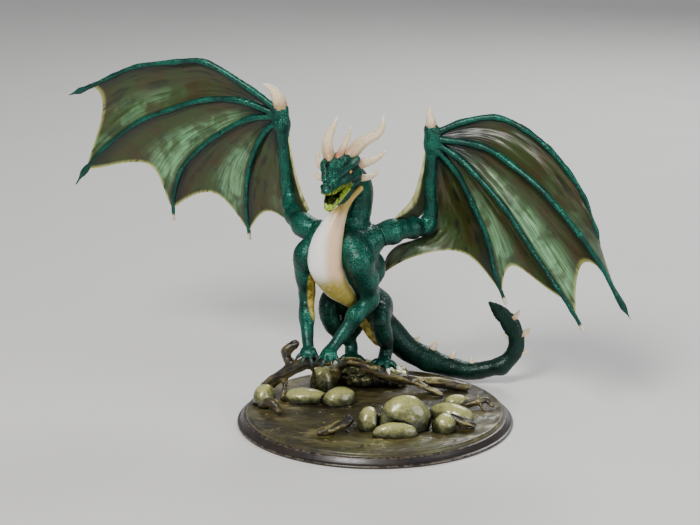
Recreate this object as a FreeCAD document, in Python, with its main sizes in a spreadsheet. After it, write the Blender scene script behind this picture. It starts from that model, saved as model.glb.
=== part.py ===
"""A painted dragon miniature on a round scenic base, built as a multi-part cast kit.

The frame is the plinth's: the origin is the centre of its flat underside, +Z is up and
-Y is the side that faces the viewer. The dragon crouches on a ledge at the back of the
base, looks to the viewer's left, and rests its forepaws on a gnarled root. Cast pieces
are located by steel dowels, and each wing pushes onto its own D-section peg.
All sizes are in millimetres.
"""

import FreeCAD, Part
import math
import os

import Sketcher

Vector = FreeCAD.Vector
doc = FreeCAD.newDocument("dragon_miniature")

# ---------------------------------------------------------------- driving dimensions

DIMENSIONS = {
    "plinth_radius": 50.0,
    "plinth_top_radius": 47.6,
    "plinth_lip": 1.1,
    "plinth_height": 3.2,
    "ground_radius": 46.8,
    "ground_thick": 1.5,
    "ground_bevel": 0.7,
    "dowel_radius": 0.75,
    "foot_dowel_depth": 2.2,
    "peg_radius": 1.9,
    "peg_flat": 1.25,
    "peg_length": 12.0,
    "peg_in_socket": 6.5,
    "peg_clearance": 0.05,
    "boss_radius": 4.5,
    "wing_seat_gap": 0.12,
    "membrane_thick": 0.8,
    "membrane_billow": 3.2,
    "finger_root_radius": 1.5,
    "finger_tip_radius": 0.45,
    "toe_radius": 1.25,
    "claw_radius": 0.75,
    "spine_height": 2.6,
    "spine_radius": 0.95,
    "eye_radius": 0.9,
    "boss_root_radius": 6.0,
    "boss_length": 11.5,
    "socket_end_gap": 0.4,
    "flange_length": 4.0,
    "flange_step": 0.4,
}

# Each boulder: centre X and Y, half length, half width, half height, turn about Z.
BOULDERS = {
    "boulder_front": (10.0, -21.5, 9.3, 6.0, 8.6, 6),
    "boulder_front_slab": (-3.0, -20.6, 3.3, 5.2, 5.8, -8),
    "boulder_front_foot": (6.8, -30.6, 7.2, 2.7, 3.3, 4),
    "boulder_round": (23.9, -23.6, 4.4, 4.4, 4.8, 20),
    "boulder_long": (27.2, -11.2, 9.0, 4.6, 4.4, -28),
    "boulder_small": (29.5, 3.0, 4.6, 3.2, 3.4, 10),
    "boulder_left": (-40.4, 7.0, 4.2, 5.2, 5.4, -20),
    "boulder_under_perch": (-19.4, 22.4, 4.8, 4.4, 7.2, 15),
    "boulder_ridge": (-26.5, 8.4, 8.2, 4.4, 3.7, -4),
    "boulder_ridge_end": (-12.4, 5.4, 5.6, 4.6, 5.0, 24),
}
# How far below a boulder's widest level its flat underside is, as a latitude in degrees.
BOULDER_BURIED = 14.0

sheet = doc.addObject("Spreadsheet::Sheet", "dims")


def fill_sheet():
    """One row per driving dimension, its alias in column A and its value in column B."""
    rows = dict(DIMENSIONS)
    for name, (x, y, long, wide, tall, turn) in BOULDERS.items():
        rows[name + "_long"] = long
        rows[name + "_wide"] = wide
        rows[name + "_tall"] = tall
    for row, (alias, value) in enumerate(rows.items(), start=1):
        sheet.set(f"A{row}", alias)
        sheet.set(f"B{row}", str(value))
        sheet.setAlias(f"B{row}", alias)
    doc.recompute()


def dim(alias):
    return float(sheet.get(alias))


fill_sheet()

# ------------------------------------------------------------- directions and stations

LATERAL = Vector(0.883, -0.469, 0)
DEPTH = Vector(0, 1, 0)
ACROSS = Vector(1, 0, 0)
UP = Vector(0, 0, 1)

# A station is x, y, z, half width along the limb's side direction, and half thickness.
TRUNK = [
    (1.2, 43.0, 26.6, 4.4, 4.4),
    (-0.6, 38.5, 30.8, 6.2, 6.4),
    (-3.6, 30.5, 37.4, 6.8, 7.2),
    (-7.4, 21.0, 46.2, 8.8, 8.8),
    (-11.5, 14.5, 55.5, 9.6, 9.4),
    (-11.5, 14.0, 63.0, 7.4, 7.4),
    (-10.0, 15.0, 67.5, 6.0, 6.0),
]
NECK = [
    (-10.6, 14.8, 65.5, 6.2, 6.4),
    (-7.6, 16.4, 71.0, 5.6, 6.0),
    (-5.6, 16.6, 77.5, 4.9, 5.3),
    (-5.4, 14.2, 84.0, 4.4, 4.7),
    (-8.2, 9.6, 89.0, 4.2, 4.4),
    (-10.2, 6.2, 91.0, 4.2, 4.2),
]
BELLY_PLATE = [
    (-11.4, 8.2, 78.5, 1.9, 1.9),
    (-14.4, 6.6, 73.0, 4.0, 3.4),
    (-17.4, 6.2, 65.5, 6.0, 5.0),
    (-18.2, 7.0, 57.0, 6.9, 5.8),
    (-14.6, 9.4, 49.0, 5.8, 5.2),
    (-9.4, 13.8, 42.4, 3.4, 3.6),
    (-7.4, 16.6, 38.8, 1.2, 1.6),
]
HEAD = [
    (-10.6, 6.4, 92.6, 4.6, 3.6),
    (-12.2, 2.6, 92.8, 6.4, 4.4),
    (-13.8, -1.8, 91.8, 5.8, 3.9),
    (-15.3, -6.0, 90.6, 4.1, 3.0),
    (-16.6, -9.4, 89.6, 3.2, 2.3),
    (-17.2, -11.2, 89.1, 2.5, 1.7),
    (-17.5, -12.0, 88.9, 1.3, 0.9),
]
LOWER_JAW = [
    (-11.0, 1.6, 86.4, 3.4, 1.5),
    (-12.0, -0.8, 85.2, 3.3, 1.5),
    (-12.9, -3.0, 84.1, 3.1, 1.5),
    (-13.8, -5.2, 83.1, 2.7, 1.4),
    (-14.6, -7.4, 82.4, 2.3, 1.3),
    (-15.3, -9.4, 81.9, 1.8, 1.1),
]
TAIL_BASE = [
    (0.2, 41.8, 28.0, 5.3, 5.3),
    (7.4, 44.8, 18.8, 5.1, 5.1),
    (13.6, 45.2, 12.6, 4.6, 4.6),
    (20.8, 45.0, 8.8, 4.2, 4.2),
]
TAIL_MID = [
    (20.8, 45.0, 8.8, 4.2, 4.2),
    (29.0, 44.0, 6.2, 3.8, 3.8),
    (38.6, 42.4, 5.0, 3.4, 3.4),
    (48.8, 40.8, 7.4, 3.0, 3.0),
]
TAIL_TIP = [
    (48.8, 40.8, 7.4, 3.0, 3.0),
    (53.4, 40.4, 12.4, 2.7, 3.2),
    (54.4, 40.2, 19.0, 2.3, 3.8),
    (51.4, 40.2, 25.0, 1.8, 3.9),
    (47.4, 40.2, 29.6, 1.1, 2.6),
    (44.0, 40.4, 32.8, 0.5, 0.7),
]
LEFT_FORELEG = [
    (-7.0, 6.4, 60.5, 4.4, 4.4),
    (-5.4, 6.4, 56.0, 4.9, 4.7),
    (-3.0, 9.2, 49.0, 4.0, 4.0),
    (-2.0, 11.0, 42.6, 3.4, 3.4),
    (-6.6, 9.0, 37.4, 2.9, 3.0),
    (-11.2, 5.8, 31.6, 2.5, 2.5),
    (-14.6, 3.4, 27.4, 2.5, 2.0),
    (-16.6, 1.6, 25.2, 2.5, 1.6),
]
RIGHT_FORELEG = [
    (-24.0, 13.0, 60.5, 4.3, 4.3),
    (-25.0, 13.4, 56.0, 4.6, 4.5),
    (-24.9, 15.4, 49.5, 3.7, 3.7),
    (-24.9, 16.4, 43.0, 3.0, 3.2),
    (-24.9, 13.4, 36.5, 2.7, 2.8),
    (-24.6, 9.0, 30.8, 2.3, 2.4),
    (-24.3, 6.2, 27.2, 2.3, 1.9),
    (-24.0, 4.4, 25.2, 2.4, 1.6),
]
LEFT_HINDLEG = [
    (2.2, 36.6, 32.2, 4.8, 5.8),
    (1.6, 30.0, 33.8, 5.0, 6.0),
    (1.8, 22.8, 33.0, 4.2, 4.6),
    (2.6, 21.8, 28.4, 3.3, 3.6),
    (4.0, 25.4, 23.6, 2.9, 3.1),
    (4.6, 28.2, 19.2, 2.6, 2.8),
    (3.9, 26.2, 15.8, 2.8, 2.1),
    (3.4, 23.8, 14.6, 3.0, 1.7),
]
RIGHT_HINDLEG = [
    (-6.6, 40.2, 33.6, 5.0, 5.8),
    (-11.6, 34.8, 36.4, 5.0, 5.8),
    (-16.2, 29.2, 36.8, 4.2, 4.6),
    (-17.2, 26.8, 31.8, 3.3, 3.7),
    (-14.2, 29.6, 25.4, 2.8, 3.1),
    (-9.2, 33.0, 19.8, 2.5, 2.7),
    (-8.6, 31.0, 16.2, 2.7, 2.1),
    (-8.3, 28.5, 14.8, 2.9, 1.8),
]
# Toe tip offsets from the last station of each leg, four toes a foot.
FORE_TOES = [(-3.6, -0.6, -1.2), (-2.2, -3.2, -1.7), (0.6, -3.9, -1.8), (2.8, -2.2, -1.4)]
HIND_TOES = [(-4.6, -1.6, -1.1), (-2.2, -4.2, -1.4), (1.4, -4.8, -1.4), (4.6, -3.4, -1.1)]

LEGS = {
    "left_foreleg": (LEFT_FORELEG, FORE_TOES),
    "right_foreleg": (RIGHT_FORELEG, FORE_TOES),
    "left_hindleg": (LEFT_HINDLEG, HIND_TOES),
    "right_hindleg": (RIGHT_HINDLEG, HIND_TOES),
}

# Wing bones from the wrist to the tip, x, y, z.
LEFT_ARM = [
    (5.2, 18.4, 66.0, 4.3, 4.3),
    (9.6, 21.0, 66.6, 4.0, 4.0),
    (14.6, 24.4, 66.0, 3.4, 3.5),
    (19.2, 27.4, 66.2, 3.0, 3.2),
    (20.6, 27.0, 71.5, 2.6, 2.8),
    (20.2, 25.4, 80.0, 2.2, 2.3),
    (20.4, 23.4, 90.0, 2.3, 2.4),
    (20.6, 22.2, 98.0, 3.0, 3.0),
    (20.2, 21.6, 103.6, 2.7, 2.8),
]
LEFT_FINGERS = {
    "leading": [(21.0, 21.7, 101.2), (31.0, 20.2, 105.8), (42.4, 17.6, 108.0), (53.0, 13.8, 105.0),
                (61.4, 10.2, 98.6), (68.6, 6.8, 90.6), (74.2, 4.2, 81.6), (77.6, 2.8, 72.6),
                (80.2, 2.2, 64.6)],
    "second": [(21.8, 21.2, 99.8), (37.4, 14.4, 98.6), (47.4, 7.0, 94.0), (59.4, -1.0, 85.0),
               (70.6, -8.0, 72.4), (78.2, -12.0, 62.0), (83.8, -14.0, 52.0), (89.4, -15.0, 42.4)],
    "third": [(21.8, 21.4, 98.4), (28.8, 18.6, 94.4), (35.4, 15.0, 88.8), (45.8, 7.8, 78.0),
              (54.8, 1.4, 65.2), (64.2, -5.0, 51.8), (69.2, -8.2, 44.2), (73.4, -10.0, 37.2)],
    "fourth": [(21.6, 21.8, 97.0), (29.6, 19.2, 87.6), (35.2, 16.2, 77.4), (40.8, 12.2, 64.6),
               (43.8, 9.2, 51.4), (47.2, 6.6, 42.4)],
}
LEFT_INNER_EDGE = [(25.2, 22.6, 93.0), (24.0, 25.4, 82.0), (24.0, 28.4, 70.0), (21.8, 29.8, 62.8),
                   (15.0, 28.6, 60.6), (8.4, 27.2, 58.6), (4.2, 27.4, 53.8), (3.4, 28.6, 46.8)]
LEFT_FRONT_WEB = {
    "free_edge": [(16.4, 22.4, 95.4), (14.8, 22.2, 84.0), (12.2, 21.6, 77.4), (8.4, 20.4, 72.4)],
    "arm_edge": [(17.0, 22.9, 94.4), (17.3, 25.2, 82.0), (17.0, 26.4, 74.4), (13.6, 24.4, 71.4),
                 (9.0, 21.4, 72.2)],
}
LEFT_THUMB = [(20.2, 21.4, 104.6, 1.7, 1.7), (19.8, 20.6, 107.4, 1.5, 1.5),
              (19.4, 20.2, 110.0, 0.9, 0.9), (19.8, 20.4, 112.2, 0.25, 0.25)]

RIGHT_ARM = [
    (-25.4, 21.8, 67.2, 4.2, 4.2),
    (-27.6, 25.8, 68.0, 3.8, 3.8),
    (-29.6, 31.4, 69.6, 3.3, 3.4),
    (-30.8, 37.0, 71.8, 3.0, 3.2),
    (-32.0, 39.0, 77.6, 2.6, 2.8),
    (-33.2, 39.2, 86.0, 2.2, 2.3),
    (-33.8, 38.6, 95.0, 2.3, 2.4),
    (-34.2, 38.2, 102.0, 3.0, 3.0),
    (-34.4, 38.0, 107.6, 2.8, 2.9),
]
RIGHT_FINGERS = {
    "leading": [(-35.2, 38.4, 107.0), (-46.0, 42.8, 114.4), (-62.4, 49.0, 123.2), (-74.0, 53.2, 122.8),
                (-89.2, 58.4, 120.4), (-98.6, 62.4, 116.4), (-108.0, 66.4, 111.6),
                (-117.4, 70.0, 107.4)],
    "second": [(-35.6, 38.8, 105.4), (-50.6, 46.0, 109.6), (-65.2, 52.0, 108.4), (-78.0, 56.6, 103.8),
               (-90.0, 60.6, 98.4), (-103.2, 65.6, 88.0), (-111.4, 68.6, 78.8),
               (-115.8, 70.0, 72.4)],
    "third": [(-35.8, 39.0, 104.6), (-46.8, 44.0, 102.8), (-59.8, 50.0, 95.0), (-67.6, 54.0, 88.0),
              (-73.4, 57.4, 80.6), (-76.8, 59.2, 70.0), (-77.2, 60.0, 60.8)],
    "fourth": [(-35.6, 39.2, 103.2), (-40.8, 42.2, 98.0), (-45.2, 45.6, 89.4), (-47.6, 48.6, 80.0),
               (-48.4, 50.0, 70.4), (-48.0, 50.4, 62.0), (-47.4, 50.4, 55.6)],
}
RIGHT_INNER_EDGE = [(-38.4, 38.9, 98.2), (-36.2, 39.6, 86.0), (-35.2, 39.8, 73.0), (-27.2, 35.8, 64.4),
                    (-19.6, 30.0, 60.4)]
RIGHT_FRONT_WEB = {
    "free_edge": [(-30.7, 37.8, 98.2), (-28.6, 36.6, 86.0), (-26.8, 32.6, 78.4), (-24.4, 26.2, 73.4)],
    "arm_edge": [(-31.0, 38.2, 97.0), (-30.7, 39.0, 86.0), (-28.9, 38.2, 78.4), (-26.9, 29.8, 73.4),
                 (-25.2, 25.0, 72.6)],
}
RIGHT_THUMB = [(-34.6, 37.8, 108.8, 2.0, 2.0), (-35.6, 37.4, 112.2, 1.9, 1.9),
               (-37.8, 37.2, 115.4, 1.2, 1.2), (-40.6, 37.4, 117.4, 0.3, 0.3)]

# Each membrane panel, from the leading one inwards: how deep its free edge is scalloped, as a
# share of the bones' lengths; how far across the panel the scallop is deepest; and how far the
# panel runs along its first and second bones.
LEFT_PANELS = (
    (0.03, 0.5, 0.97, 0.92),
    (0.115, 0.3, 0.85, 0.93),
    (0.15, 0.66, 0.85, 0.93),
    (0.22, 0.4, 0.94, 0.98),
)
RIGHT_PANELS = (
    (0.07, 0.45, 0.88, 0.92),
    (0.15, 0.6, 0.92, 0.94),
    (0.16, 0.55, 0.93, 0.94),
    (0.2, 0.5, 0.94, 0.97),
)

# The way each wing pulls off its peg, and the centre of its seat on the torso.
LEFT_PULL = Vector(0.872, 0.412, 0.264).normalize()
LEFT_SEAT = Vector(1.4, 16.6, 64.9)
RIGHT_PULL = Vector(-0.846, 0.466, 0.258).normalize()
RIGHT_SEAT = Vector(-21.8, 19.8, 66.1)

PERCH_ROOT = [
    (-41.4, 15.8, 5.6, 2.4, 2.4),
    (-38.4, 13.4, 9.6, 2.3, 2.3),
    (-34.2, 11.0, 13.6, 2.4, 2.4),
    (-29.8, 9.0, 17.0, 2.5, 2.5),
    (-25.4, 7.0, 19.4, 2.4, 2.4),
    (-21.0, 5.6, 20.6, 2.1, 2.1),
    (-16.8, 5.0, 20.4, 1.6, 1.6),
]
PERCH_FORK = [
    (-29.6, 9.4, 17.4, 2.0, 2.0),
    (-32.0, 10.2, 20.2, 1.9, 1.9),
    (-32.0, 11.0, 23.4, 1.9, 1.9),
    (-29.2, 11.6, 25.6, 1.6, 1.6),
]
ROOT_ARCH = [
    (-15.6, 23.4, 7.6, 1.9, 1.9),
    (-12.8, 20.8, 13.4, 1.8, 1.8),
    (-8.4, 18.6, 16.2, 1.7, 1.7),
    (-1.6, 17.6, 14.2, 1.6, 1.6),
    (6.0, 17.8, 10.8, 1.7, 1.7),
    (15.0, 19.2, 8.8, 1.8, 1.8),
    (25.0, 21.0, 7.2, 2.0, 2.0),
    (34.0, 20.4, 6.0, 1.6, 1.6),
]
LEDGE = [
    (-15.6, 33.6, 8.2, 4.6, 3.2),
    (-8.6, 30.6, 8.8, 7.8, 4.6),
    (1.0, 29.0, 8.6, 8.0, 4.4),
    (9.6, 28.4, 7.8, 5.0, 3.2),
]
LEFT_KNOT = [
    (-40.8, 0.2, 5.4, 1.9, 1.9),
    (-38.6, -2.2, 7.6, 1.9, 1.9),
    (-36.4, -4.8, 7.8, 1.7, 1.7),
    (-34.6, -7.4, 6.0, 1.3, 1.3),
]
FRONT_SNAG = [
    (-19.4, -29.4, 5.9, 1.5, 1.2),
    (-16.2, -28.2, 6.5, 1.9, 1.6),
    (-12.4, -26.0, 7.2, 2.1, 1.9),
    (-9.8, -22.8, 8.2, 1.9, 2.0),
]
RIGHT_TWIG = [
    (32.6, -1.8, 6.1, 1.1, 1.1),
    (36.2, -1.2, 7.2, 1.3, 1.2),
    (40.2, 0.4, 7.6, 1.1, 1.1),
    (42.6, -1.6, 6.2, 0.8, 0.8),
]
RIGHT_FLAP = [
    (27.2, -20.6, 8.2, 1.0, 1.5),
    (30.8, -21.0, 7.0, 2.2, 1.6),
    (34.6, -21.4, 5.8, 1.6, 0.9),
]

HORNS = {
    "left_crown_horn": [
        [(-9.6, 4.4, 96.4, 2.1, 2.1), (-7.0, 6.6, 99.4, 2.1, 2.0), (-3.6, 9.8, 101.6, 1.8, 1.7),
         (0.6, 13.2, 103.2, 1.4, 1.4), (2.5, 16.5, 105.6, 1.0, 1.0), (2.9, 18.6, 108.8, 0.4, 0.4)],
    ],
    "right_crown_horn": [
        [(-16.4, 4.4, 96.8, 1.9, 1.9), (-17.1, 6.8, 99.6, 1.8, 1.8), (-16.8, 9.8, 102.4, 1.5, 1.5),
         (-15.2, 12.8, 105.8, 1.0, 1.0), (-13.5, 15.0, 109.2, 0.35, 0.35)],
    ],
    "crest_horn": [
        [(-12.9, 2.6, 97.4, 1.2, 1.2), (-11.6, 5.6, 99.8, 1.1, 1.1), (-10.0, 8.8, 102.6, 0.8, 0.8),
         (-8.8, 12.2, 106.2, 0.3, 0.3)],
    ],
    "temple_horns": [
        [(-6.9, 5.8, 93.4, 1.6, 1.6), (-3.6, 8.6, 93.8, 1.5, 1.4), (0.0, 11.8, 94.5, 1.1, 1.1),
         (3.8, 15.0, 96.6, 0.4, 0.4)],
        [(-18.4, 4.8, 92.8, 1.2, 1.2), (-20.0, 7.4, 93.7, 1.0, 1.0), (-20.6, 9.6, 95.2, 0.8, 0.8),
         (-20.5, 11.8, 97.2, 0.3, 0.3)],
    ],
    "cheek_horns": [
        [(-7.0, 5.0, 89.2, 1.3, 1.3), (-3.8, 8.0, 88.5, 1.1, 1.1), (-0.6, 11.2, 88.7, 0.8, 0.8),
         (1.7, 13.5, 90.2, 0.3, 0.3)],
        [(-18.0, 4.2, 89.6, 1.1, 1.1), (-20.2, 5.8, 89.0, 0.9, 0.9), (-21.4, 7.6, 89.6, 0.6, 0.6),
         (-21.1, 9.4, 90.8, 0.25, 0.25)],
    ],
}

EYES = [(-9.2, -3.7, 93.2), (-18.7, -0.2, 93.2)]

# Spines along the back: the limb and station that each stands on, its direction, and its size.
DORSAL_SPINES = (
    (NECK, 2, (0.45, 0.85, 0.1), 1.0),
    (NECK, 1, (0.42, 0.88, 0.1), 1.1),
    (TRUNK, 4, (0.42, 0.86, 0.3), 1.2),
    (TRUNK, 3, (0.36, 0.62, 0.7), 1.2),
    (TRUNK, 2, (0.32, 0.55, 0.77), 1.1),
    (TRUNK, 1, (0.4, 0.6, 0.7), 1.0),
)
TAIL_SPIKES = (
    (TAIL_BASE, 2, (0.55, 0, 0.83), 1.0),
    (TAIL_BASE, 3, (0.4, 0, 0.92), 1.7),
    (TAIL_MID, 1, (0.3, 0.05, 0.95), 1.4),
    (TAIL_MID, 2, (-0.3, 0.1, 0.95), 1.2),
    (TAIL_TIP, 1, (0.98, 0, 0.15), 1.1),
    (TAIL_TIP, 2, (0.85, 0, 0.52), 1.3),
    (TAIL_TIP, 3, (0.7, 0, 0.71), 1.2),
    (TAIL_TIP, 2, (-0.9, 0, 0.2), 0.9),
)
SPINE_TIP_RADIUS = 0.15
SPINE_ROOT = 0.7

# ---------------------------------------------------------------------- shape helpers

RING_POINTS = 12


def ring(centre, tangent, side_hint, half_width, half_thick):
    """A closed oval section across the tangent, its seam always on the side direction."""
    side = side_hint - tangent * side_hint.dot(tangent)
    side.normalize()
    up = tangent.cross(side)
    points = []
    for k in range(RING_POINTS):
        turn = 2 * math.pi * k / RING_POINTS
        points.append(centre + side * (half_width * math.cos(turn)) + up * (half_thick * math.sin(turn)))
    curve = Part.BSplineCurve()
    curve.interpolate(points, PeriodicFlag=True)
    return Part.Wire(curve.toShape())


def tangents(points):
    """Unit directions along a path, central differences inside it."""
    last = len(points) - 1
    return [(points[min(i + 1, last)] - points[max(i - 1, 0)]).normalize() for i in range(last + 1)]


def limb(stations, side_hint):
    """A smooth solid lofted through oval stations."""
    points = [Vector(*s[:3]) for s in stations]
    ways = tangents(points)
    rings = [ring(p, way, side_hint, s[3], s[4]) for p, way, s in zip(points, ways, stations)]
    return facing_out(Part.makeLoft(rings, True))


def facing_out(solid):
    """The same solid with its shell turned so that its faces look outwards."""
    if solid.Volume > 0:
        return solid
    shell = solid.Shells[0].copy()
    shell.reverse()
    return Part.Solid(shell)


def biggest(shape):
    """The largest solid of a boolean result, without any sliver beside it."""
    return max(shape.Solids, key=lambda solid: solid.Volume)


def trimmed(shape, *tools):
    """The shape less each tool that it meets, one at a time."""
    for tool in tools:
        if shape.BoundBox.intersect(tool.BoundBox):
            shape = biggest(shape.cut(tool))
    return shape


# Membrane panels: poles each way of their cubic surface, where along the bones they start, how
# much they sag for their width, and the clearance between a panel's edge and its bone.
PANEL_STEPS = 11
CUBIC = 3
PANEL_START = 0.2
BILLOW_SHARE = 0.16
SKIN_GAP = 0.12
# Bone lines: how finely they are cut up, and the step used to find their direction.
LINE_STEPS = 60
SLOPE_STEP = 0.02
FINGER_TAPER = 1.2


def smooth_line(points):
    """A smooth curve through a path's points."""
    curve = Part.BSplineCurve()
    curve.interpolate([Vector(*p) for p in points])
    return curve


def even_points(points):
    """Points evenly spaced along the smooth curve through a path's points."""
    return smooth_line(points).discretize(LINE_STEPS + 1)


def at_share(line, share):
    """The point at a share of the length of a line of evenly spaced points."""
    place = min(max(share, 0), 1) * LINE_STEPS
    index = min(int(place), LINE_STEPS - 1)
    return line[index] + (line[index + 1] - line[index]) * (place - index)


def beside(line, other, share, inset):
    """A point at a share of one line, set square off it towards the other."""
    here = at_share(line, share)
    along = (at_share(line, share + SLOPE_STEP) - at_share(line, share - SLOPE_STEP)).normalize()
    across = at_share(other, share) - here
    square = (across - along * across.dot(along)).normalize()
    return here + square * inset(share)


def arched(u):
    """A rise from 0 at either end to 1 in the middle."""
    return 4 * u * (1 - u)


def web_panel(first, second, panel, billow, first_inset, second_inset):
    """A thin skin between two bone lines that meet at one end. Its side edges lie against the
    bones, its free edge is scalloped towards the wrist, and it billows away from the viewer."""
    scallop, deepest, first_reach, second_reach = panel
    lean = math.log(0.5) / math.log(deepest)
    poles = []
    for i in range(PANEL_STEPS):
        u = i / (PANEL_STEPS - 1)
        arch = arched(u)
        reach = (1 - u) * first_reach + u * second_reach - scallop * arched(u ** lean)
        row = []
        for k in range(PANEL_STEPS):
            v = PANEL_START + (reach - PANEL_START) * k / (PANEL_STEPS - 1)
            near = beside(first, second, v, first_inset)
            far = beside(second, first, v, second_inset)
            droop = min(billow, BILLOW_SHARE * (far - near).Length) * arch
            row.append(near * (1 - u) + far * u + DEPTH * droop)
        poles.append(row)
    knots = list(range(PANEL_STEPS - CUBIC + 1))
    repeats = [CUBIC + 1] + [1] * (len(knots) - 2) + [CUBIC + 1]
    surface = Part.BSplineSurface()
    surface.buildFromPolesMultsKnots(poles, repeats, repeats, knots, knots, False, False, CUBIC, CUBIC)
    return skin(surface.toShape())


def finger_radius(share):
    """A finger bone's radius at a share of its length from the wrist."""
    root, tip = dim("finger_root_radius"), dim("finger_tip_radius")
    return root + (tip - root) * min(1, share) ** FINGER_TAPER


def beside_bone(share):
    """How far a membrane's edge is from a finger bone's axis."""
    return finger_radius(share) + SKIN_GAP


def at_edge(share):
    """A membrane's own free inner edge isn't inset."""
    return 0.0


def skin(face):
    """A face thickened evenly to both sides along Y."""
    thick = dim("membrane_thick")
    sheet_face = face.copy()
    sheet_face.translate(DEPTH * (-thick / 2))
    return facing_out(sheet_face.extrude(DEPTH * thick))


def d_rod(radius, flat, length):
    """A rod along +Z from the origin with one flat, so that it can't turn in its socket."""
    rod = Part.makeCylinder(radius, length)
    waste = Part.makeBox(2 * radius, 4 * radius, 2 * length)
    waste.translate(Vector(flat, -2 * radius, -length / 2))
    return rod.cut(waste)


def aimed(shape, base, way):
    moved = shape.copy()
    moved.Placement = FreeCAD.Placement(base, FreeCAD.Rotation(UP, way))
    return moved


# ------------------------------------------------------------------------ the document

exported = []


def keep(obj, label):
    obj.Label = label
    exported.append(obj)
    return obj


def feature(label, shape):
    """A sub-part whose shape is made by Part's own functions."""
    obj = doc.addObject("Part::Feature", label)
    obj.Shape = shape
    obj.Placement = FreeCAD.Placement()
    return keep(obj, label)


def origin_plane(body, role):
    return next(f for f in body.Origin.OriginFeatures if f.Role == role)


def disc_sketch(body, name, radius_cell):
    sketch = body.newObject("Sketcher::SketchObject", name)
    sketch.AttachmentSupport = (origin_plane(body, "XY_Plane"), "")
    sketch.MapMode = "FlatFace"
    sketch.addGeometry(Part.Circle(Vector(), UP, dim(radius_cell)), False)
    sketch.addConstraint(Sketcher.Constraint("Coincident", 0, 3, -1, 1))
    sketch.addConstraint(Sketcher.Constraint("Radius", 0, dim(radius_cell)))
    sketch.renameConstraint(1, "radius")
    sketch.setExpression("Constraints.radius", "dims." + radius_cell)
    return sketch


def make_plinth():
    """The turned plinth: an upright lip, then a bevel up to the narrower top."""
    body = doc.addObject("PartDesign::Body", "plinth")
    sketch = body.newObject("Sketcher::SketchObject", "plinth_profile")
    sketch.AttachmentSupport = (origin_plane(body, "XZ_Plane"), "")
    sketch.MapMode = "FlatFace"
    wide, narrow = dim("plinth_radius"), dim("plinth_top_radius")
    lip, high = dim("plinth_lip"), dim("plinth_height")
    corners = [(0, 0), (wide, 0), (wide, lip), (narrow, high), (0, high)]
    for a, b in zip(corners, corners[1:] + corners[:1]):
        sketch.addGeometry(Part.LineSegment(Vector(*a, 0), Vector(*b, 0)), False)
    for i in range(5):
        sketch.addConstraint(Sketcher.Constraint("Coincident", i, 2, (i + 1) % 5, 1))
    sketch.addConstraint(Sketcher.Constraint("Coincident", 0, 1, -1, 1))
    sketch.addConstraint(Sketcher.Constraint("Horizontal", 0))
    sketch.addConstraint(Sketcher.Constraint("Vertical", 1))
    sketch.addConstraint(Sketcher.Constraint("Horizontal", 3))
    sketch.addConstraint(Sketcher.Constraint("Vertical", 4))
    sized = (
        ("DistanceX", 0, wide, "wide", "plinth_radius"),
        ("DistanceY", 1, lip, "lip", "plinth_lip"),
        ("DistanceX", 3, narrow, "narrow", "plinth_top_radius"),
        ("DistanceY", 4, high, "high", "plinth_height"),
    )
    for kind, line, value, name, cell in sized:
        ends = (line, 2, line, 1) if line in (3, 4) else (line, 1, line, 2)
        index = sketch.addConstraint(Sketcher.Constraint(kind, *ends, value))
        sketch.renameConstraint(index, name)
        sketch.setExpression("Constraints." + name, "dims." + cell)
    turned = body.newObject("PartDesign::Revolution", "plinth_turned")
    turned.Profile = sketch
    turned.ReferenceAxis = (sketch, ["V_Axis"])
    turned.Angle = 360.0
    doc.recompute()
    add_dowel_holes(body, "plinth", "plinth_height", "foot_dowel_depth")
    return keep(body, "plinth")


def make_ground():
    """The scenic insert on top of the plinth, with a bevelled rim."""
    body = doc.addObject("PartDesign::Body", "ground")
    body.setExpression("Placement.Base.z", "dims.plinth_height")
    pad = body.newObject("PartDesign::Pad", "ground_disc")
    pad.Profile = disc_sketch(body, "ground_outline", "ground_radius")
    pad.setExpression("Length", "dims.ground_thick")
    doc.recompute()
    rim = body.newObject("PartDesign::Chamfer", "ground_rim")
    top = max(pad.Shape.Edges, key=lambda edge: edge.BoundBox.ZMax + edge.BoundBox.ZMin)
    number = next(i for i, edge in enumerate(pad.Shape.Edges, 1) if edge.isSame(top))
    rim.Base = (pad, [f"Edge{number}"])
    rim.setExpression("Size", "dims.ground_bevel")
    doc.recompute()
    add_dowel_holes(body, "ground", "ground_thick", "ground_thick")
    return keep(body, "ground")


def foot_dowel_spots():
    """Where a vertical dowel runs down from a hind foot or the perch root."""
    stations = (LEFT_HINDLEG[-2], RIGHT_HINDLEG[-2], PERCH_ROOT[0])
    return [Vector(station[0], station[1], 0) for station in stations]


def add_dowel_holes(body, name, level_cell, depth_cell):
    """Blind or through holes for the foot dowels, cut down from the body's top."""
    sketch = body.newObject("Sketcher::SketchObject", name + "_dowel_holes")
    sketch.AttachmentSupport = (origin_plane(body, "XY_Plane"), "")
    sketch.MapMode = "FlatFace"
    sketch.setExpression("AttachmentOffset.Base.z", "dims." + level_cell)
    for spot in foot_dowel_spots():
        index = sketch.addGeometry(Part.Circle(spot, UP, dim("dowel_radius")), False)
        sketch.addConstraint(Sketcher.Constraint("DistanceX", -1, 1, index, 3, spot.x))
        sketch.addConstraint(Sketcher.Constraint("DistanceY", -1, 1, index, 3, spot.y))
        number = sketch.addConstraint(Sketcher.Constraint("Radius", index, dim("dowel_radius")))
        sketch.renameConstraint(number, f"hole{index}")
        sketch.setExpression(f"Constraints.hole{index}", "dims.dowel_radius")
    before = body.Shape.Volume
    pocket = body.newObject("PartDesign::Pocket", name + "_dowel_pocket")
    pocket.Profile = sketch
    pocket.setExpression("Length", "dims." + depth_cell)
    doc.recompute()
    if body.Shape.Volume > before - 1:
        raise RuntimeError(name + ": the dowel pocket cut nothing")


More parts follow.
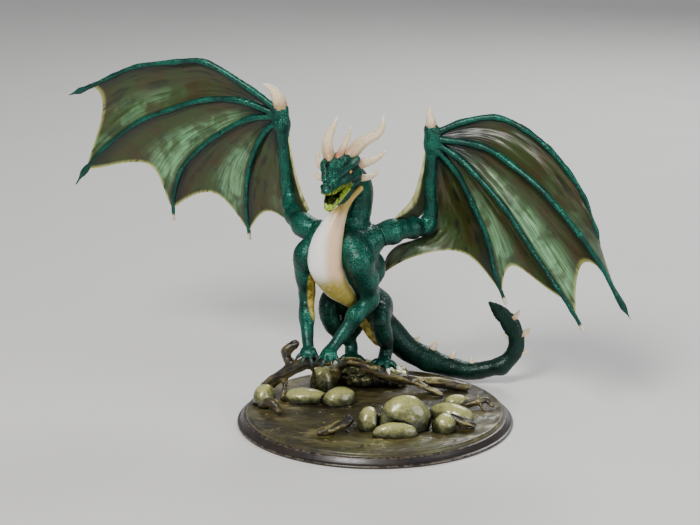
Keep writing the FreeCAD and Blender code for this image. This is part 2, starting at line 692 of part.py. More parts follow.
def make_boulders():
    """River boulders: ellipsoids with a flat underside that sits on the ground."""
    raised = math.sin(math.radians(BOULDER_BURIED))
    ground_top = "dims.plinth_height + dims.ground_thick"
    for name, (x, y, long, wide, tall, turn) in BOULDERS.items():
        stone = doc.addObject("Part::Ellipsoid", name)
        stone.setExpression("Radius2", f"dims.{name}_long")
        stone.setExpression("Radius3", f"dims.{name}_wide")
        stone.setExpression("Radius1", f"dims.{name}_tall")
        stone.Angle1 = -BOULDER_BURIED
        stone.Placement = FreeCAD.Placement(Vector(x, y, 0), FreeCAD.Rotation(UP, turn))
        stone.setExpression("Placement.Base.z", f"{ground_top} + dims.{name}_tall * {raised:.6f}")
        keep(stone, name)
    doc.recompute()


def make_dowels(label, places):
    """Cut lengths of steel rod, each glued into both of the pieces that it joins."""
    rods = []
    for name, (base, way, length) in places.items():
        rod = doc.addObject("Part::Cylinder", name + "_rod")
        rod.setExpression("Radius", "dims.dowel_radius")
        rod.Height = length
        rod.Placement = FreeCAD.Placement(base, FreeCAD.Rotation(UP, way))
        rods.append(rod)
    group = doc.addObject("Part::Compound", label)
    group.Links = rods
    doc.recompute()
    keep(group, label)
    return [rod.Shape.copy() for rod in rods]


def along_limb(stations, index, length):
    """The base, direction and length of a dowel centred on a station of a limb."""
    points = [Vector(*s[:3]) for s in stations]
    way = tangents(points)[index]
    return points[index] - way * (length / 2), way, length


# Toes and claws: where a toe starts on its foot, how much it arches, and how a claw hooks down.
TOE_START = 0.4
TOE_ARCH = 0.35
CLAW_INSET = 0.3
CLAW_BEND = 1.5
CLAW_BEND_DROP = 0.2
CLAW_LENGTH = 2.6
CLAW_DROP = 0.9
CLAW_TIP_RADIUS = 0.16


def make_feet_and_claws(leg, toe_tips):
    """Four toes joined to the end of a leg, and four claws that stand on their tips."""
    root = Vector(*leg[-1][:3])
    radius, claw = dim("toe_radius"), dim("claw_radius")
    toes, claws = [], []
    for offset in toe_tips:
        tip = root + Vector(*offset)
        way = Vector(*offset).normalize()
        start = root + way * TOE_START
        middle = (start + tip) * 0.5 + UP * TOE_ARCH
        toe = [
            (*start, radius * 1.1, radius),
            (*middle, radius, radius),
            (*tip, radius * 0.85, radius * 0.8),
        ]
        toes.append(limb(toe, UP))
        nail = tip + way * (radius * CLAW_INSET)
        hook = nail + way * CLAW_BEND - UP * CLAW_BEND_DROP
        point = nail + way * CLAW_LENGTH - UP * CLAW_DROP
        hooked = [
            (*nail, claw, claw),
            (*hook, claw * 0.72, claw * 0.72),
            (*point, CLAW_TIP_RADIUS, CLAW_TIP_RADIUS),
        ]
        claws.append(limb(hooked, UP))
    return toes, claws


# ------------------------------------------------------------------------- the build


# The space round a wing's seat that its casting keeps out of.
SEAT_ROOM_RADIUS = 14
SEAT_ROOM_LENGTH = 12


def make_peg(side, seat, pull):
    """The D-section steel peg that a wing slides off."""
    rod = doc.addObject("Part::Cylinder", side + "_peg_rod")
    rod.setExpression("Radius", "dims.peg_radius")
    rod.setExpression("Height", "dims.peg_length")
    waste = doc.addObject("Part::Box", side + "_peg_flat")
    waste.setExpression("Length", "dims.peg_radius")
    waste.setExpression("Width", "dims.peg_radius * 4")
    waste.setExpression("Height", "dims.peg_length + 2")
    waste.setExpression("Placement.Base.x", "dims.peg_flat")
    waste.setExpression("Placement.Base.y", "-2 * dims.peg_radius")
    waste.setExpression("Placement.Base.z", "-1")
    peg = doc.addObject("Part::Cut", side + "_wing_peg")
    peg.Base, peg.Tool = rod, waste
    peg.Placement = FreeCAD.Placement(seat - pull * dim("peg_in_socket"), FreeCAD.Rotation(UP, pull))
    doc.recompute()
    return keep(peg, side + "_wing_peg")


def make_wing(side, arm_stations, fingers, inner_edge, front_web, thumb, seat, pull, panels):
    """One wing: arm, finger bones, membrane panels, front web and thumb claw, on its own peg."""
    peg = make_peg(side, seat, pull)
    flange_base = seat + pull * dim("wing_seat_gap")
    flange_radius = dim("boss_radius") - dim("flange_step")
    flange = Part.makeCylinder(flange_radius, dim("flange_length"), flange_base, pull)
    behind_seat = Part.makeCylinder(SEAT_ROOM_RADIUS, SEAT_ROOM_LENGTH,
                                    flange_base - pull * SEAT_ROOM_LENGTH, pull)
    arm = trimmed(limb(arm_stations, DEPTH).fuse(flange), behind_seat, peg.Shape)
    bones, lines = [], []
    for name, points in fingers.items():
        last = len(points) - 1
        radii = [finger_radius(i / last) for i in range(last + 1)]
        hint = ACROSS if name == "leading" else DEPTH
        bones.append(limb([(*p, r, r) for p, r in zip(points, radii)], hint))
        lines.append(even_points(points))
    for i in range(1, len(bones)):
        bones[i] = trimmed(bones[i], *bones[:i])
    bones = [trimmed(bone, arm) for bone in bones]
    lines.append(even_points(inner_edge))
    insets = [beside_bone] * len(fingers) + [at_edge]
    skins = []
    for i, panel in enumerate(panels):
        skins.append(web_panel(lines[i], lines[i + 1], panel, dim("membrane_billow"), insets[i],
                               insets[i + 1]))
    web_edges = [smooth_line(front_web[name]).toShape() for name in ("free_edge", "arm_edge")]
    feature(side + "_wing_arm", arm)
    feature(side + "_wing_fingers", Part.makeCompound(bones))
    feature(side + "_wing_membrane", Part.makeCompound(skins))
    feature(side + "_wing_front_web", skin(Part.makeRuledSurface(*web_edges)))
    feature(side + "_thumb_claw", trimmed(limb(thumb, ACROSS), arm, *bones))


def make_spines(places, solids):
    """Cones rooted just inside a limb's surface, trimmed to the castings they stand on."""
    cones = []
    for stations, index, out, size in places:
        station = stations[index]
        way = Vector(*out).normalize()
        base = Vector(*station[:3]) + way * (station[4] - SPINE_ROOT)
        height = dim("spine_height") * size + SPINE_ROOT
        cone = Part.makeCone(dim("spine_radius") * size, SPINE_TIP_RADIUS, height, base, way)
        cones.append(trimmed(cone, *solids))
    return cones


# How far a socket's cutting tool stands out of its boss, so that the mouth is cut clean.
SOCKET_MOUTH = 1.0
# Tops of the foot dowels: left hind foot, right hind foot, perch root.
FOOT_DOWEL_TOPS = (15.6, 15.8, 6.0)


def build():
    make_plinth()
    make_ground()
    make_boulders()
    boulders = {obj.Label: obj.Shape.copy() for obj in exported if obj.Label in BOULDERS}
    ground_top = dim("plinth_height") + dim("ground_thick")
    wide, deep = 3 * dim("plinth_radius"), 30
    below = Part.makeBox(wide, wide, deep, Vector(-wide / 2, -wide / 2, ground_top - deep))

    # Body castings, each trimmed to the ones already made so that neighbours meet face to face.
    gap, long = dim("peg_clearance"), dim("boss_length")
    deep = dim("peg_in_socket") + dim("socket_end_gap")
    torso = limb(TRUNK, LATERAL)
    sockets = []
    for seat, pull in ((LEFT_SEAT, LEFT_PULL), (RIGHT_SEAT, RIGHT_PULL)):
        boss = Part.makeCone(dim("boss_root_radius"), dim("boss_radius"), long, seat - pull * long, pull)
        torso = torso.fuse(boss)
        hole = d_rod(dim("peg_radius") + gap, dim("peg_flat") + gap, deep + SOCKET_MOUTH)
        sockets.append(aimed(hole, seat - pull * deep, pull))
    neck = limb(NECK, LATERAL)
    head = limb(HEAD, LATERAL)
    tail_base = limb(TAIL_BASE, DEPTH)
    tail_mid = limb(TAIL_MID, DEPTH)
    tail_tip = limb(TAIL_TIP, DEPTH)
    legs = {name: limb(stations, LATERAL) for name, (stations, _) in LEGS.items()}
    holes = make_dowels("body_dowels", {
        "neck": along_limb(NECK, 0, 9.0),
        "head": along_limb(NECK, -1, 6.0),
        "tail_root": along_limb(TAIL_BASE, 0, 9.0),
        "tail_mid": along_limb(TAIL_MID, 0, 8.0),
        "tail_tip": along_limb(TAIL_TIP, 0, 6.0),
        "left_shoulder": (Vector(-4.4, 7.4, 57.0), Vector(-0.8, 0.6, 0), 8.0),
        "right_shoulder": (Vector(-24.6, 13.6, 56.0), Vector(1.0, 0.1, 0), 8.0),
        "left_hip": (Vector(1.4, 25.6, 33.0), Vector(-0.5, 0.76, 0.41), 8.0),
        "right_hip": (Vector(-9.8, 36.6, 35.6), Vector(0.95, 0.18, -0.26), 8.0),
    })
    foot_bottom = dim("plinth_height") - dim("foot_dowel_depth")
    posts = make_dowels("foot_dowels", {
        f"foot_{number}": (spot + UP * foot_bottom, UP, top - foot_bottom)
        for number, (spot, top) in enumerate(zip(foot_dowel_spots(), FOOT_DOWEL_TOPS))
    })
    holes = holes + posts

    torso = trimmed(torso, *sockets, *holes)
    neck = trimmed(neck, torso, *holes)
    head = trimmed(head, neck, *holes)
    jaw = trimmed(limb(LOWER_JAW, LATERAL), head, neck)
    belly = trimmed(limb(BELLY_PLATE, LATERAL), torso, neck)
    tail_base = trimmed(tail_base, torso, *holes)
    tail_mid = trimmed(tail_mid, tail_base, *holes)
    tail_tip = trimmed(tail_tip, tail_mid, *holes)
    core = [torso, neck, belly]
    for name in legs:
        legs[name] = trimmed(legs[name], *core, tail_base, *holes)

    # Scenery.
    ledge = trimmed(limb(LEDGE, DEPTH), below, *posts, *boulders.values())
    arch = trimmed(limb(ROOT_ARCH, DEPTH), below, ledge, *posts, *boulders.values())
    perch = limb(PERCH_ROOT, DEPTH).fuse(limb(PERCH_FORK, DEPTH))
    perch = trimmed(perch, below, *posts, *boulders.values())
    scenery = [ledge, arch, perch]
    for name, stations in (("left_root_knot", LEFT_KNOT), ("front_snag", FRONT_SNAG),
                           ("right_twig", RIGHT_TWIG), ("right_root_flap", RIGHT_FLAP)):
        feature(name, trimmed(limb(stations, DEPTH), below, *scenery, *boulders.values()))
    feature("rear_ledge", ledge)
    feature("root_arch", arch)
    feature("perch_root", perch)

    # Legs stand on the scenery. Toes and claws are trimmed to it and to the legs made before.
    standing = []
    for name, (stations, toes_at) in LEGS.items():
        leg = trimmed(legs[name], *scenery, *standing)
        toes, claws = make_feet_and_claws(stations, toes_at)
        for toe in toes:
            leg = biggest(leg.fuse(trimmed(toe, *scenery, *posts, *standing)))
        claws = [trimmed(claw, leg, *scenery, *standing) for claw in claws]
        feature(name, leg)
        feature(name.replace("leg", "claws"), Part.makeCompound(claws))
        standing += [leg, *claws]

    feature("torso", torso)
    feature("neck", neck)
    feature("head", head)
    feature("lower_jaw", jaw)
    feature("belly_plate", belly)
    feature("tail_base", tail_base)
    feature("tail_mid", tail_mid)
    feature("tail_tip", tail_tip)
    for name, horns in HORNS.items():
        hint = UP if name in ("temple_horns", "cheek_horns") else ACROSS
        feature(name, Part.makeCompound([trimmed(limb(horn, hint), head, neck) for horn in horns]))
    spines = make_spines(DORSAL_SPINES, [torso, neck])
    feature("dorsal_spines", Part.makeCompound(spines))
    spikes = make_spines(TAIL_SPIKES, [tail_base, tail_mid, tail_tip])
    feature("tail_spikes", Part.makeCompound(spikes))
    eyes = [Part.makeSphere(dim("eye_radius"), Vector(*centre)) for centre in EYES]
    feature("eyes", Part.makeCompound([trimmed(eye, head) for eye in eyes]))

    make_wing("left", LEFT_ARM, LEFT_FINGERS, LEFT_INNER_EDGE, LEFT_FRONT_WEB, LEFT_THUMB,
              LEFT_SEAT, LEFT_PULL, LEFT_PANELS)
    make_wing("right", RIGHT_ARM, RIGHT_FINGERS, RIGHT_INNER_EDGE, RIGHT_FRONT_WEB, RIGHT_THUMB,
              RIGHT_SEAT, RIGHT_PULL, RIGHT_PANELS)
    doc.recompute()


def check_and_export():
    """Stops on any failed object or bad shape, then writes one STEP file per sub-part."""
    for obj in doc.Objects:
        if "Invalid" in obj.State or "Error" in obj.State:
            raise RuntimeError(f"{obj.Label} failed to compute: {obj.State}")
    for obj in exported:
        if obj.Shape.isNull() or not obj.Shape.isValid() or not obj.Shape.Solids:
            raise RuntimeError(f"{obj.Label} has no valid solid")
    os.makedirs("parts", exist_ok=True)
    for obj in exported:
        obj.Shape.exportStep(f"parts/{obj.Label}.step")
    print(len(exported), "sub-parts written")


build()
check_and_export()
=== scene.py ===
"""Looks of the painted dragon miniature: sculpted pieces, paint, camera and light.

Sculpted pieces are surfaces of distance fields, worked out in millimetres in the frame of
the CAD and turned into meshes in metres. A field is negative inside the piece.
"""

import math
from concurrent.futures import ThreadPoolExecutor

import bpy
import numpy as np
import openvdb
from mathutils import Euler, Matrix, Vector


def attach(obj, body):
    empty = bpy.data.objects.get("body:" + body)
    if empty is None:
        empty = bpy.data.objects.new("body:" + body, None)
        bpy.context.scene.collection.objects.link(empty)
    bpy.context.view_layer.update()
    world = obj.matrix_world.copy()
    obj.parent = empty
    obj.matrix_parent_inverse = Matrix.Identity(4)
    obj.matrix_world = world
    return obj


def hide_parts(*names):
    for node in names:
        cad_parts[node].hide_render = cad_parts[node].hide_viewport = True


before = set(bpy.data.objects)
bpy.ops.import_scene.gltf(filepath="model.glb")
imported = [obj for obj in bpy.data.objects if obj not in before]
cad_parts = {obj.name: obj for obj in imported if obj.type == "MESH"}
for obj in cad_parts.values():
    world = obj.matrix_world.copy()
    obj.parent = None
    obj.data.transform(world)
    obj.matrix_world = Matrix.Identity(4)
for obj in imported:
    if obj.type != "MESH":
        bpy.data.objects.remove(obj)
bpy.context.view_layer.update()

MM = 0.001
SEED = 20

# ------------------------------------------------------------------ the dragon's skeleton
# Stations are x, y, z, half width along the limb's side direction, half thickness. Toes are
# offsets of their tips from a leg's last station.

TRUNK = [(1.2, 43.0, 26.6, 4.6, 4.6), (-0.6, 38.5, 30.8, 6.2, 6.4), (-3.6, 30.5, 37.4, 6.6, 6.8),
         (-7.4, 21.0, 46.2, 7.6, 7.8), (-11.2, 14.8, 55.5, 8.2, 8.6), (-11.5, 14.0, 63.0, 6.8, 7.0),
         (-10.0, 15.0, 67.5, 5.6, 5.8)]
NECK = [(-10.6, 14.8, 65.5, 5.8, 6.2), (-7.6, 16.4, 71.0, 5.2, 5.8), (-5.6, 16.6, 77.5, 4.6, 5.1),
        (-5.4, 14.2, 84.0, 4.1, 4.6), (-8.2, 9.6, 89.0, 4.0, 4.4), (-10.2, 6.2, 91.0, 4.0, 4.2)]
TAIL_BASE = [(1.0, 43.0, 26.4, 5.5, 5.5), (7.4, 44.8, 18.8, 5.1, 5.1), (13.6, 45.2, 12.6, 4.6, 4.6),
             (20.8, 45.0, 8.8, 4.2, 4.2)]
TAIL_MID = [(20.8, 45.0, 8.8, 4.2, 4.2), (29.0, 44.0, 6.2, 3.8, 3.8), (38.6, 42.4, 5.0, 3.4, 3.4),
            (48.8, 40.8, 7.4, 3.0, 3.0)]
TAIL_TIP = [(48.8, 40.8, 7.4, 3.0, 3.0), (53.4, 40.4, 12.4, 2.5, 2.9), (54.4, 40.2, 19.0, 1.9, 3.2),
            (51.4, 40.2, 25.0, 1.3, 3.4), (47.4, 40.2, 29.6, 0.9, 2.2), (44.0, 40.4, 32.8, 0.5, 0.6)]
LEFT_FORELEG = [(-7.0, 6.4, 60.0, 4.2, 4.4), (-5.6, 6.0, 57.0, 4.9, 5.0), (-4.0, 8.0, 51.6, 4.0, 4.2),
                (-2.4, 10.6, 45.6, 3.3, 3.5), (-2.4, 11.0, 41.6, 3.2, 3.4), (-6.6, 9.0, 37.0, 2.8, 3.1),
                (-11.2, 5.8, 31.6, 2.3, 2.4), (-14.6, 3.4, 27.6, 2.2, 2.0), (-16.6, 1.6, 25.6, 2.4, 1.6)]
RIGHT_FORELEG = [(-24.0, 13.0, 60.5, 4.1, 4.2), (-25.0, 13.0, 57.0, 4.6, 4.7), (-25.0, 15.0, 50.5, 3.6, 3.7),
                 (-24.9, 16.4, 43.6, 2.8, 3.1), (-24.9, 13.8, 37.0, 2.6, 2.8), (-24.6, 9.0, 30.8, 2.2, 2.3),
                 (-24.3, 6.2, 27.4, 2.1, 1.9), (-24.0, 4.4, 25.6, 2.3, 1.6)]
LEFT_HINDLEG = [(2.2, 36.6, 32.2, 4.8, 5.8), (1.6, 30.0, 33.8, 4.9, 5.9), (1.8, 22.8, 33.0, 4.1, 4.5),
                (2.6, 21.8, 28.4, 3.2, 3.5), (4.0, 25.4, 23.6, 2.8, 3.0), (4.6, 28.2, 19.2, 2.4, 2.6),
                (3.9, 26.2, 15.8, 2.6, 2.0), (3.4, 23.8, 14.8, 2.8, 1.6)]
RIGHT_HINDLEG = [(-6.6, 40.2, 33.6, 5.0, 5.8), (-11.6, 34.8, 36.4, 4.9, 5.7), (-16.2, 29.2, 36.8, 4.1, 4.5),
                 (-17.2, 26.8, 31.8, 3.2, 3.6), (-14.2, 29.6, 25.4, 2.7, 3.0), (-9.2, 33.0, 19.8, 2.3, 2.5),
                 (-8.6, 31.0, 16.2, 2.5, 2.0), (-8.3, 28.5, 15.0, 2.7, 1.7)]
FORE_TOES = [(-2.7, -0.9, -1.6), (-1.5, -2.8, -2.1), (0.7, -3.2, -2.2), (2.4, -1.9, -1.8)]
HIND_TOES = [(-4.6, -1.6, -1.1), (-2.2, -4.2, -1.4), (1.4, -4.8, -1.4), (4.6, -3.4, -1.1)]
LEGS = {"left_foreleg": (LEFT_FORELEG, FORE_TOES), "right_foreleg": (RIGHT_FORELEG, FORE_TOES),
        "left_hindleg": (LEFT_HINDLEG, HIND_TOES), "right_hindleg": (RIGHT_HINDLEG, HIND_TOES)}

# A wing's panels run from the first finger to the inner edge, and each is how deep its edge is
# scalloped, where across it that is deepest, and how far it reaches along its two lines. Bulges
# are muscles on the arm, centre and radii. The thumb is x, y, z and radius. Pearls say how
# pearly each panel's paint is. The wing slides off along pull, from its seat on the body.
WINGS = {
    "left": {
        "arm": [(5.2, 18.4, 66.0, 4.3, 4.3), (9.6, 21.0, 66.6, 4.0, 4.0), (14.6, 24.4, 66.0, 3.3, 3.4),
                (19.2, 27.4, 66.2, 2.8, 3.0), (20.6, 27.0, 71.5, 2.5, 2.7), (20.2, 25.4, 80.0, 2.2, 2.3),
                (20.4, 23.4, 90.0, 2.1, 2.2), (20.6, 22.2, 98.0, 2.6, 2.7), (20.2, 21.6, 103.4, 2.5, 2.6)],
        "fingers": [
            [(21.2, 21.6, 101.4), (31.0, 20.2, 106.0), (43.2, 17.4, 108.4), (53.0, 13.8, 104.8),
             (61.4, 10.2, 98.6), (68.6, 6.8, 90.6), (74.2, 4.2, 81.6), (77.4, 2.8, 72.4), (80.2, 2.2, 64.6)],
            [(21.8, 21.2, 99.8), (37.4, 14.4, 98.6), (47.4, 7.0, 94.0), (59.4, -1.0, 85.0),
             (70.6, -8.0, 72.4), (78.2, -12.0, 62.0), (83.8, -14.0, 52.0), (89.4, -15.0, 42.4)],
            [(21.8, 21.4, 98.4), (28.8, 18.6, 94.4), (35.4, 15.0, 88.8), (45.8, 7.8, 78.0),
             (54.8, 1.4, 65.2), (64.2, -5.0, 51.8), (69.2, -8.2, 44.2), (73.4, -10.0, 37.2)],
            [(21.6, 21.8, 97.0), (29.6, 19.2, 87.6), (35.2, 16.2, 77.4), (40.8, 12.2, 64.6),
             (43.8, 9.2, 51.4), (47.2, 6.6, 42.4)],
        ],
        "inner_edge": [(22.6, 22.8, 94.0), (21.6, 25.4, 82.0), (21.6, 28.2, 70.0), (20.4, 29.4, 63.4),
                       (15.0, 28.6, 60.6), (8.4, 27.2, 58.6), (4.2, 27.4, 53.8), (3.4, 28.6, 46.8)],
        "free_edge": [(18.6, 22.2, 98.0), (16.2, 22.2, 86.0), (13.2, 21.4, 77.4), (7.4, 20.0, 71.0)],
        "web_arm": [(19.6, 22.6, 97.0), (19.2, 25.2, 82.0), (18.6, 26.4, 72.4), (13.6, 24.4, 68.6),
                    (8.0, 20.6, 69.6)],
        "thumb": [(20.2, 21.5, 103.4, 2.0), (20.0, 20.9, 106.2, 1.9), (19.5, 20.3, 108.8, 1.2),
                  (19.5, 20.3, 111.0, 0.55), (19.9, 20.5, 112.4, 0.12)],
        "panels": [(0.03, 0.5, 0.97, 0.92), (0.115, 0.3, 0.85, 0.93), (0.15, 0.66, 0.85, 0.93),
                   (0.22, 0.4, 0.94, 0.98)],
        "bulges": [((6.4, 18.8, 65.9), (4.5, 4.4, 4.8)), ((13.8, 23.8, 66.3), (4.3, 4.1, 4.3))],
        "pearls": (0.35, 1.0, 0.75, 0.3),
        "pull": (0.872, 0.412, 0.264),
        "seat": (1.4, 16.6, 64.9),
    },
    "right": {
        "arm": [(-25.4, 21.8, 67.2, 4.2, 4.2), (-27.6, 25.8, 68.0, 3.8, 3.8), (-29.6, 31.4, 69.6, 3.2, 3.3),
                (-30.8, 37.0, 71.8, 2.8, 3.0), (-32.0, 39.0, 77.6, 2.5, 2.7), (-33.2, 39.2, 86.0, 2.2, 2.3),
                (-33.8, 38.6, 95.0, 2.1, 2.2), (-34.2, 38.2, 102.0, 2.6, 2.7),
                (-34.4, 38.0, 107.6, 2.6, 2.7)],
        "fingers": [
            [(-35.2, 38.4, 107.0), (-46.0, 42.8, 114.4), (-62.4, 49.0, 123.2), (-74.0, 53.2, 122.8),
             (-89.2, 58.4, 120.4), (-98.6, 62.4, 116.4), (-108.0, 66.4, 111.6), (-117.4, 70.0, 107.4)],
            [(-35.6, 38.8, 105.4), (-50.6, 46.0, 109.6), (-65.2, 52.0, 108.4), (-78.0, 56.6, 103.8),
             (-90.0, 60.6, 98.4), (-103.2, 65.6, 88.0), (-111.4, 68.6, 78.8), (-115.8, 70.0, 72.4)],
            [(-35.8, 39.0, 104.6), (-46.8, 44.0, 102.8), (-59.8, 50.0, 95.0), (-67.6, 54.0, 88.0),
             (-73.4, 57.4, 80.6), (-76.8, 59.2, 70.0), (-77.2, 60.0, 60.8)],
            [(-35.6, 39.2, 103.2), (-40.8, 42.2, 98.0), (-45.2, 45.6, 89.4), (-47.6, 48.6, 80.0),
             (-48.4, 50.0, 70.4), (-48.0, 50.4, 62.0), (-47.4, 50.4, 55.6)],
        ],
        "inner_edge": [(-36.6, 38.9, 99.0), (-34.4, 39.6, 86.0), (-33.0, 39.8, 73.0), (-27.2, 35.8, 64.4),
                       (-19.6, 30.0, 60.4)],
        "free_edge": [(-32.2, 37.8, 100.4), (-29.6, 36.6, 86.0), (-27.2, 32.6, 78.4), (-24.0, 25.8, 72.6)],
        "web_arm": [(-33.0, 38.4, 99.0), (-32.2, 39.0, 86.0), (-30.4, 38.0, 77.4), (-28.2, 29.8, 71.6),
                    (-26.2, 24.6, 70.4)],
        "thumb": [(-34.4, 37.9, 107.8, 2.5), (-35.2, 37.6, 111.0, 2.5), (-36.6, 37.3, 114.0, 1.9),
                  (-38.8, 37.2, 116.2, 1.1), (-41.0, 37.4, 117.4, 0.15)],
        "panels": [(0.07, 0.45, 0.88, 0.92), (0.15, 0.6, 0.92, 0.94), (0.16, 0.55, 0.93, 0.94),
                   (0.2, 0.5, 0.94, 0.97)],
        "bulges": [((-26.4, 23.2, 67.6), (4.4, 4.4, 4.7)), ((-29.4, 30.2, 69.3), (4.0, 4.2, 4.0))],
        "pearls": (0.45, 1.0, 0.8, 0.3),
        "pull": (-0.846, 0.466, 0.258),
        "seat": (-21.8, 19.8, 66.1),
    },
}
LATERAL = np.array((0.883, -0.469, 0.0), np.float32)
DEPTH = np.array((0.0, 1.0, 0.0), np.float32)

# ---------------------------------------------------------------------- curves and noise


THINNEST = 0.05


def smooth_path(stations, per_span):
    """Stations resampled on a Catmull-Rom curve, every column alike."""
    knots = np.asarray(stations, np.float32)
    padded = np.vstack([2 * knots[0] - knots[1], knots, 2 * knots[-1] - knots[-2]])
    rows = []
    for i in range(len(knots) - 1):
        p0, p1, p2, p3 = padded[i:i + 4]
        for t in np.arange(per_span) / per_span:
            rows.append(0.5 * (2 * p1 + (p2 - p0) * t + (2 * p0 - 5 * p1 + 4 * p2 - p3) * t * t
                               + (3 * p1 - p0 - 3 * p2 + p3) * t ** 3))
    rows.append(knots[-1])
    path = np.array(rows, np.float32)
    path[:, 3:] = np.maximum(path[:, 3:], THINNEST)
    return path


def lengths_along(path):
    """The length of a path up to each of its rows."""
    steps = np.linalg.norm(np.diff(path[:, :3], axis=0), axis=1)
    return np.concatenate([[0], np.cumsum(steps)])


def shares_along(path):
    """How far along a path each of its rows is, 0 to 1."""
    run = lengths_along(path)
    return run / run[-1]


def at_shares(path, shares):
    """Rows of a path at shares of its length."""
    run = lengths_along(path)
    wanted = np.asarray(shares) * run[-1]
    return np.stack([np.interp(wanted, run, path[:, c]) for c in range(path.shape[1])], -1)


def hashed(corners, seed):
    """A repeatable random 32-bit number for each corner of a grid, given as integers."""
    x, y, z = corners.astype(np.int32).view(np.uint32).T
    mixed = x * np.uint32(73856093) ^ y * np.uint32(19349663) ^ z * np.uint32(83492791)
    mixed ^= np.uint32(seed * 2654435761 % 2 ** 32)
    mixed = (mixed ^ (mixed >> np.uint32(15))) * np.uint32(2246822519)
    mixed = (mixed ^ (mixed >> np.uint32(13))) * np.uint32(3266489917)
    return mixed ^ (mixed >> np.uint32(16))


SCATTER = 0.7
CELL_EDGE = 0.15
TEN_BITS = 1023


def cells(points, size, seed=SEED):
    """Distance to the nearest and second nearest scattered seed point, in cell sizes. Each
    cell of a grid holds one, SCATTER of the cell from side to side."""
    scaled = points / size
    base = np.floor(scaled)
    inside = scaled - base
    base = base.astype(np.int32)
    first = np.full(len(points), 9.0, np.float32)
    second = first.copy()
    for dx in (-1, 0, 1):
        for dy in (-1, 0, 1):
            for dz in (-1, 0, 1):
                draw = hashed(base + np.array((dx, dy, dz), np.int32), seed)
                far = np.zeros(len(points), np.float32)
                for axis, step in enumerate((dx, dy, dz)):
                    part = ((draw >> np.uint32(10 * axis)) & np.uint32(TEN_BITS)).astype(np.float32)
                    part *= np.float32(SCATTER / TEN_BITS)
                    part += np.float32(step + CELL_EDGE)
                    part -= inside[:, axis]
                    part *= part
                    far += part
                second = np.minimum(second, np.maximum(first, far))
                first = np.minimum(first, far)
    return np.sqrt(first), np.sqrt(second)


def value_noise(points, size, seed=SEED):
    """Smooth noise in -1..1."""
    scaled = points / size
    base = np.floor(scaled)
    corner = base.astype(np.int32)
    t = scaled - base
    t = t * t * (3 - 2 * t)
    total = np.zeros(len(points), np.float32)
    for dx in (0, 1):
        for dy in (0, 1):
            for dz in (0, 1):
                weight = np.abs(1 - dx - t[:, 0]) * np.abs(1 - dy - t[:, 1]) * np.abs(1 - dz - t[:, 2])
                draw = hashed(corner + np.array((dx, dy, dz), np.int32), seed) >> np.uint32(8)
                total += weight * draw.astype(np.float32) * np.float32(1 / 2 ** 24)
    return 2 * total - 1


def fractal(points, size, octaves, seed=SEED):
    """Smooth noise with finer and weaker noise on it."""
    total = np.zeros(len(points), np.float32)
    for k in range(octaves):
        total += value_noise(points, size / 2 ** k, seed + k) / 2 ** k
    return total


def ramp(x, low, high):
    """0 at low to 1 at high, eased at both ends."""
    t = np.clip((x - low) / (high - low), 0, 1)
    return t * t * (3 - 2 * t)


# ---------------------------------------------------------------------- distance fields


def union(a, b, width):
    """The smaller of two distances, with a fillet about as wide as asked."""
    h = np.maximum(width - np.abs(a - b), 0) / width
    return np.minimum(a, b) - h * h * width * 0.25


SIGHT = 4.0
NOWHERE = 1e3


def limb(stations, side, per_span=4):
    """The field of a limb: straight pieces with oval sections along a smooth path, or round
    ones where the stations have a radius only. Pieces further than SIGHT from all of the
    points asked about are left out."""
    path = smooth_path(stations, per_span)
    if path.shape[1] == 4:
        path = np.hstack([path, path[:, 3:]])
    side = np.asarray(side, np.float32)

    def field(p):
        best = np.full(len(p), NOWHERE, np.float32)
        low, high = p.min(0) - SIGHT, p.max(0) + SIGHT
        for a, b in zip(path[:-1], path[1:]):
            room = max(a[3:].max(), b[3:].max())
            nearest, furthest = np.minimum(a[:3], b[:3]) - room, np.maximum(a[:3], b[:3]) + room
            if np.any(nearest > high) or np.any(furthest < low):
                continue
            run = b[:3] - a[:3]
            t = np.clip((p - a[:3]) @ run / (run @ run), 0, 1)
            gap = p - a[:3] - t[:, None] * run
            wide = a[3] + (b[3] - a[3]) * t
            thick = a[4] + (b[4] - a[4]) * t
            across = gap @ side
            rest = np.einsum("ij,ij->i", gap, gap) - across * across
            reach = np.sqrt(across * across / (wide * wide) + np.maximum(rest, 0) / (thick * thick))
            np.minimum(best, (reach - 1) * np.minimum(wide, thick), out=best)
        return best
    field.box = (path[:, :3].min(0) - path[:, 3:].max(), path[:, :3].max(0) + path[:, 3:].max())
    return field


def ball(centre, radii, axes=np.eye(3)):
    """The field of an ellipsoid with the rows of axes as its directions."""
    centre = np.asarray(centre, np.float32)
    radii = np.asarray(radii, np.float32) * np.ones(3, np.float32)
    axes = np.asarray(axes, np.float32)
    reach = float(radii.max()) + SIGHT

    def field(p):
        if np.any(p.min(0) - reach > centre) or np.any(p.max(0) + reach < centre):
            return np.full(len(p), NOWHERE, np.float32)
        local = (p - centre) @ axes.T
        near = np.sqrt(np.einsum("ij,ij->i", local / radii, local / radii))
        slope = np.sqrt(np.einsum("ij,ij->i", local / radii ** 2, local / radii ** 2)) + 1e-6
        return near * (near - 1) / slope
    field.box = (centre - radii.max(), centre + radii.max())
    return field


def merged(width, *fields):
    """Several fields as one, with fillets between them."""
    def field(p):
        out = fields[0](p)
        for other in fields[1:]:
            out = union(out, other(p), width)
        return out
    field.box = (np.min([f.box[0] for f in fields], 0), np.max([f.box[1] for f in fields], 0))
    return field


def carved(field, width, *tools):
    """A field less the tools, with softened rims."""
    def less(p):
        out = field(p)
        for tool in tools:
            out = -union(-out, tool(p), width)
        return out
    less.box = field.box
    return less


def roughened(values, p, band, rise):
    """A field's values at points with its surface raised, where it is nearer than the band."""
    close = np.abs(values) < band
    if not close.any():
        return values
    values = values.copy()
    values[close] -= rise(p[close], values[close])
    return values


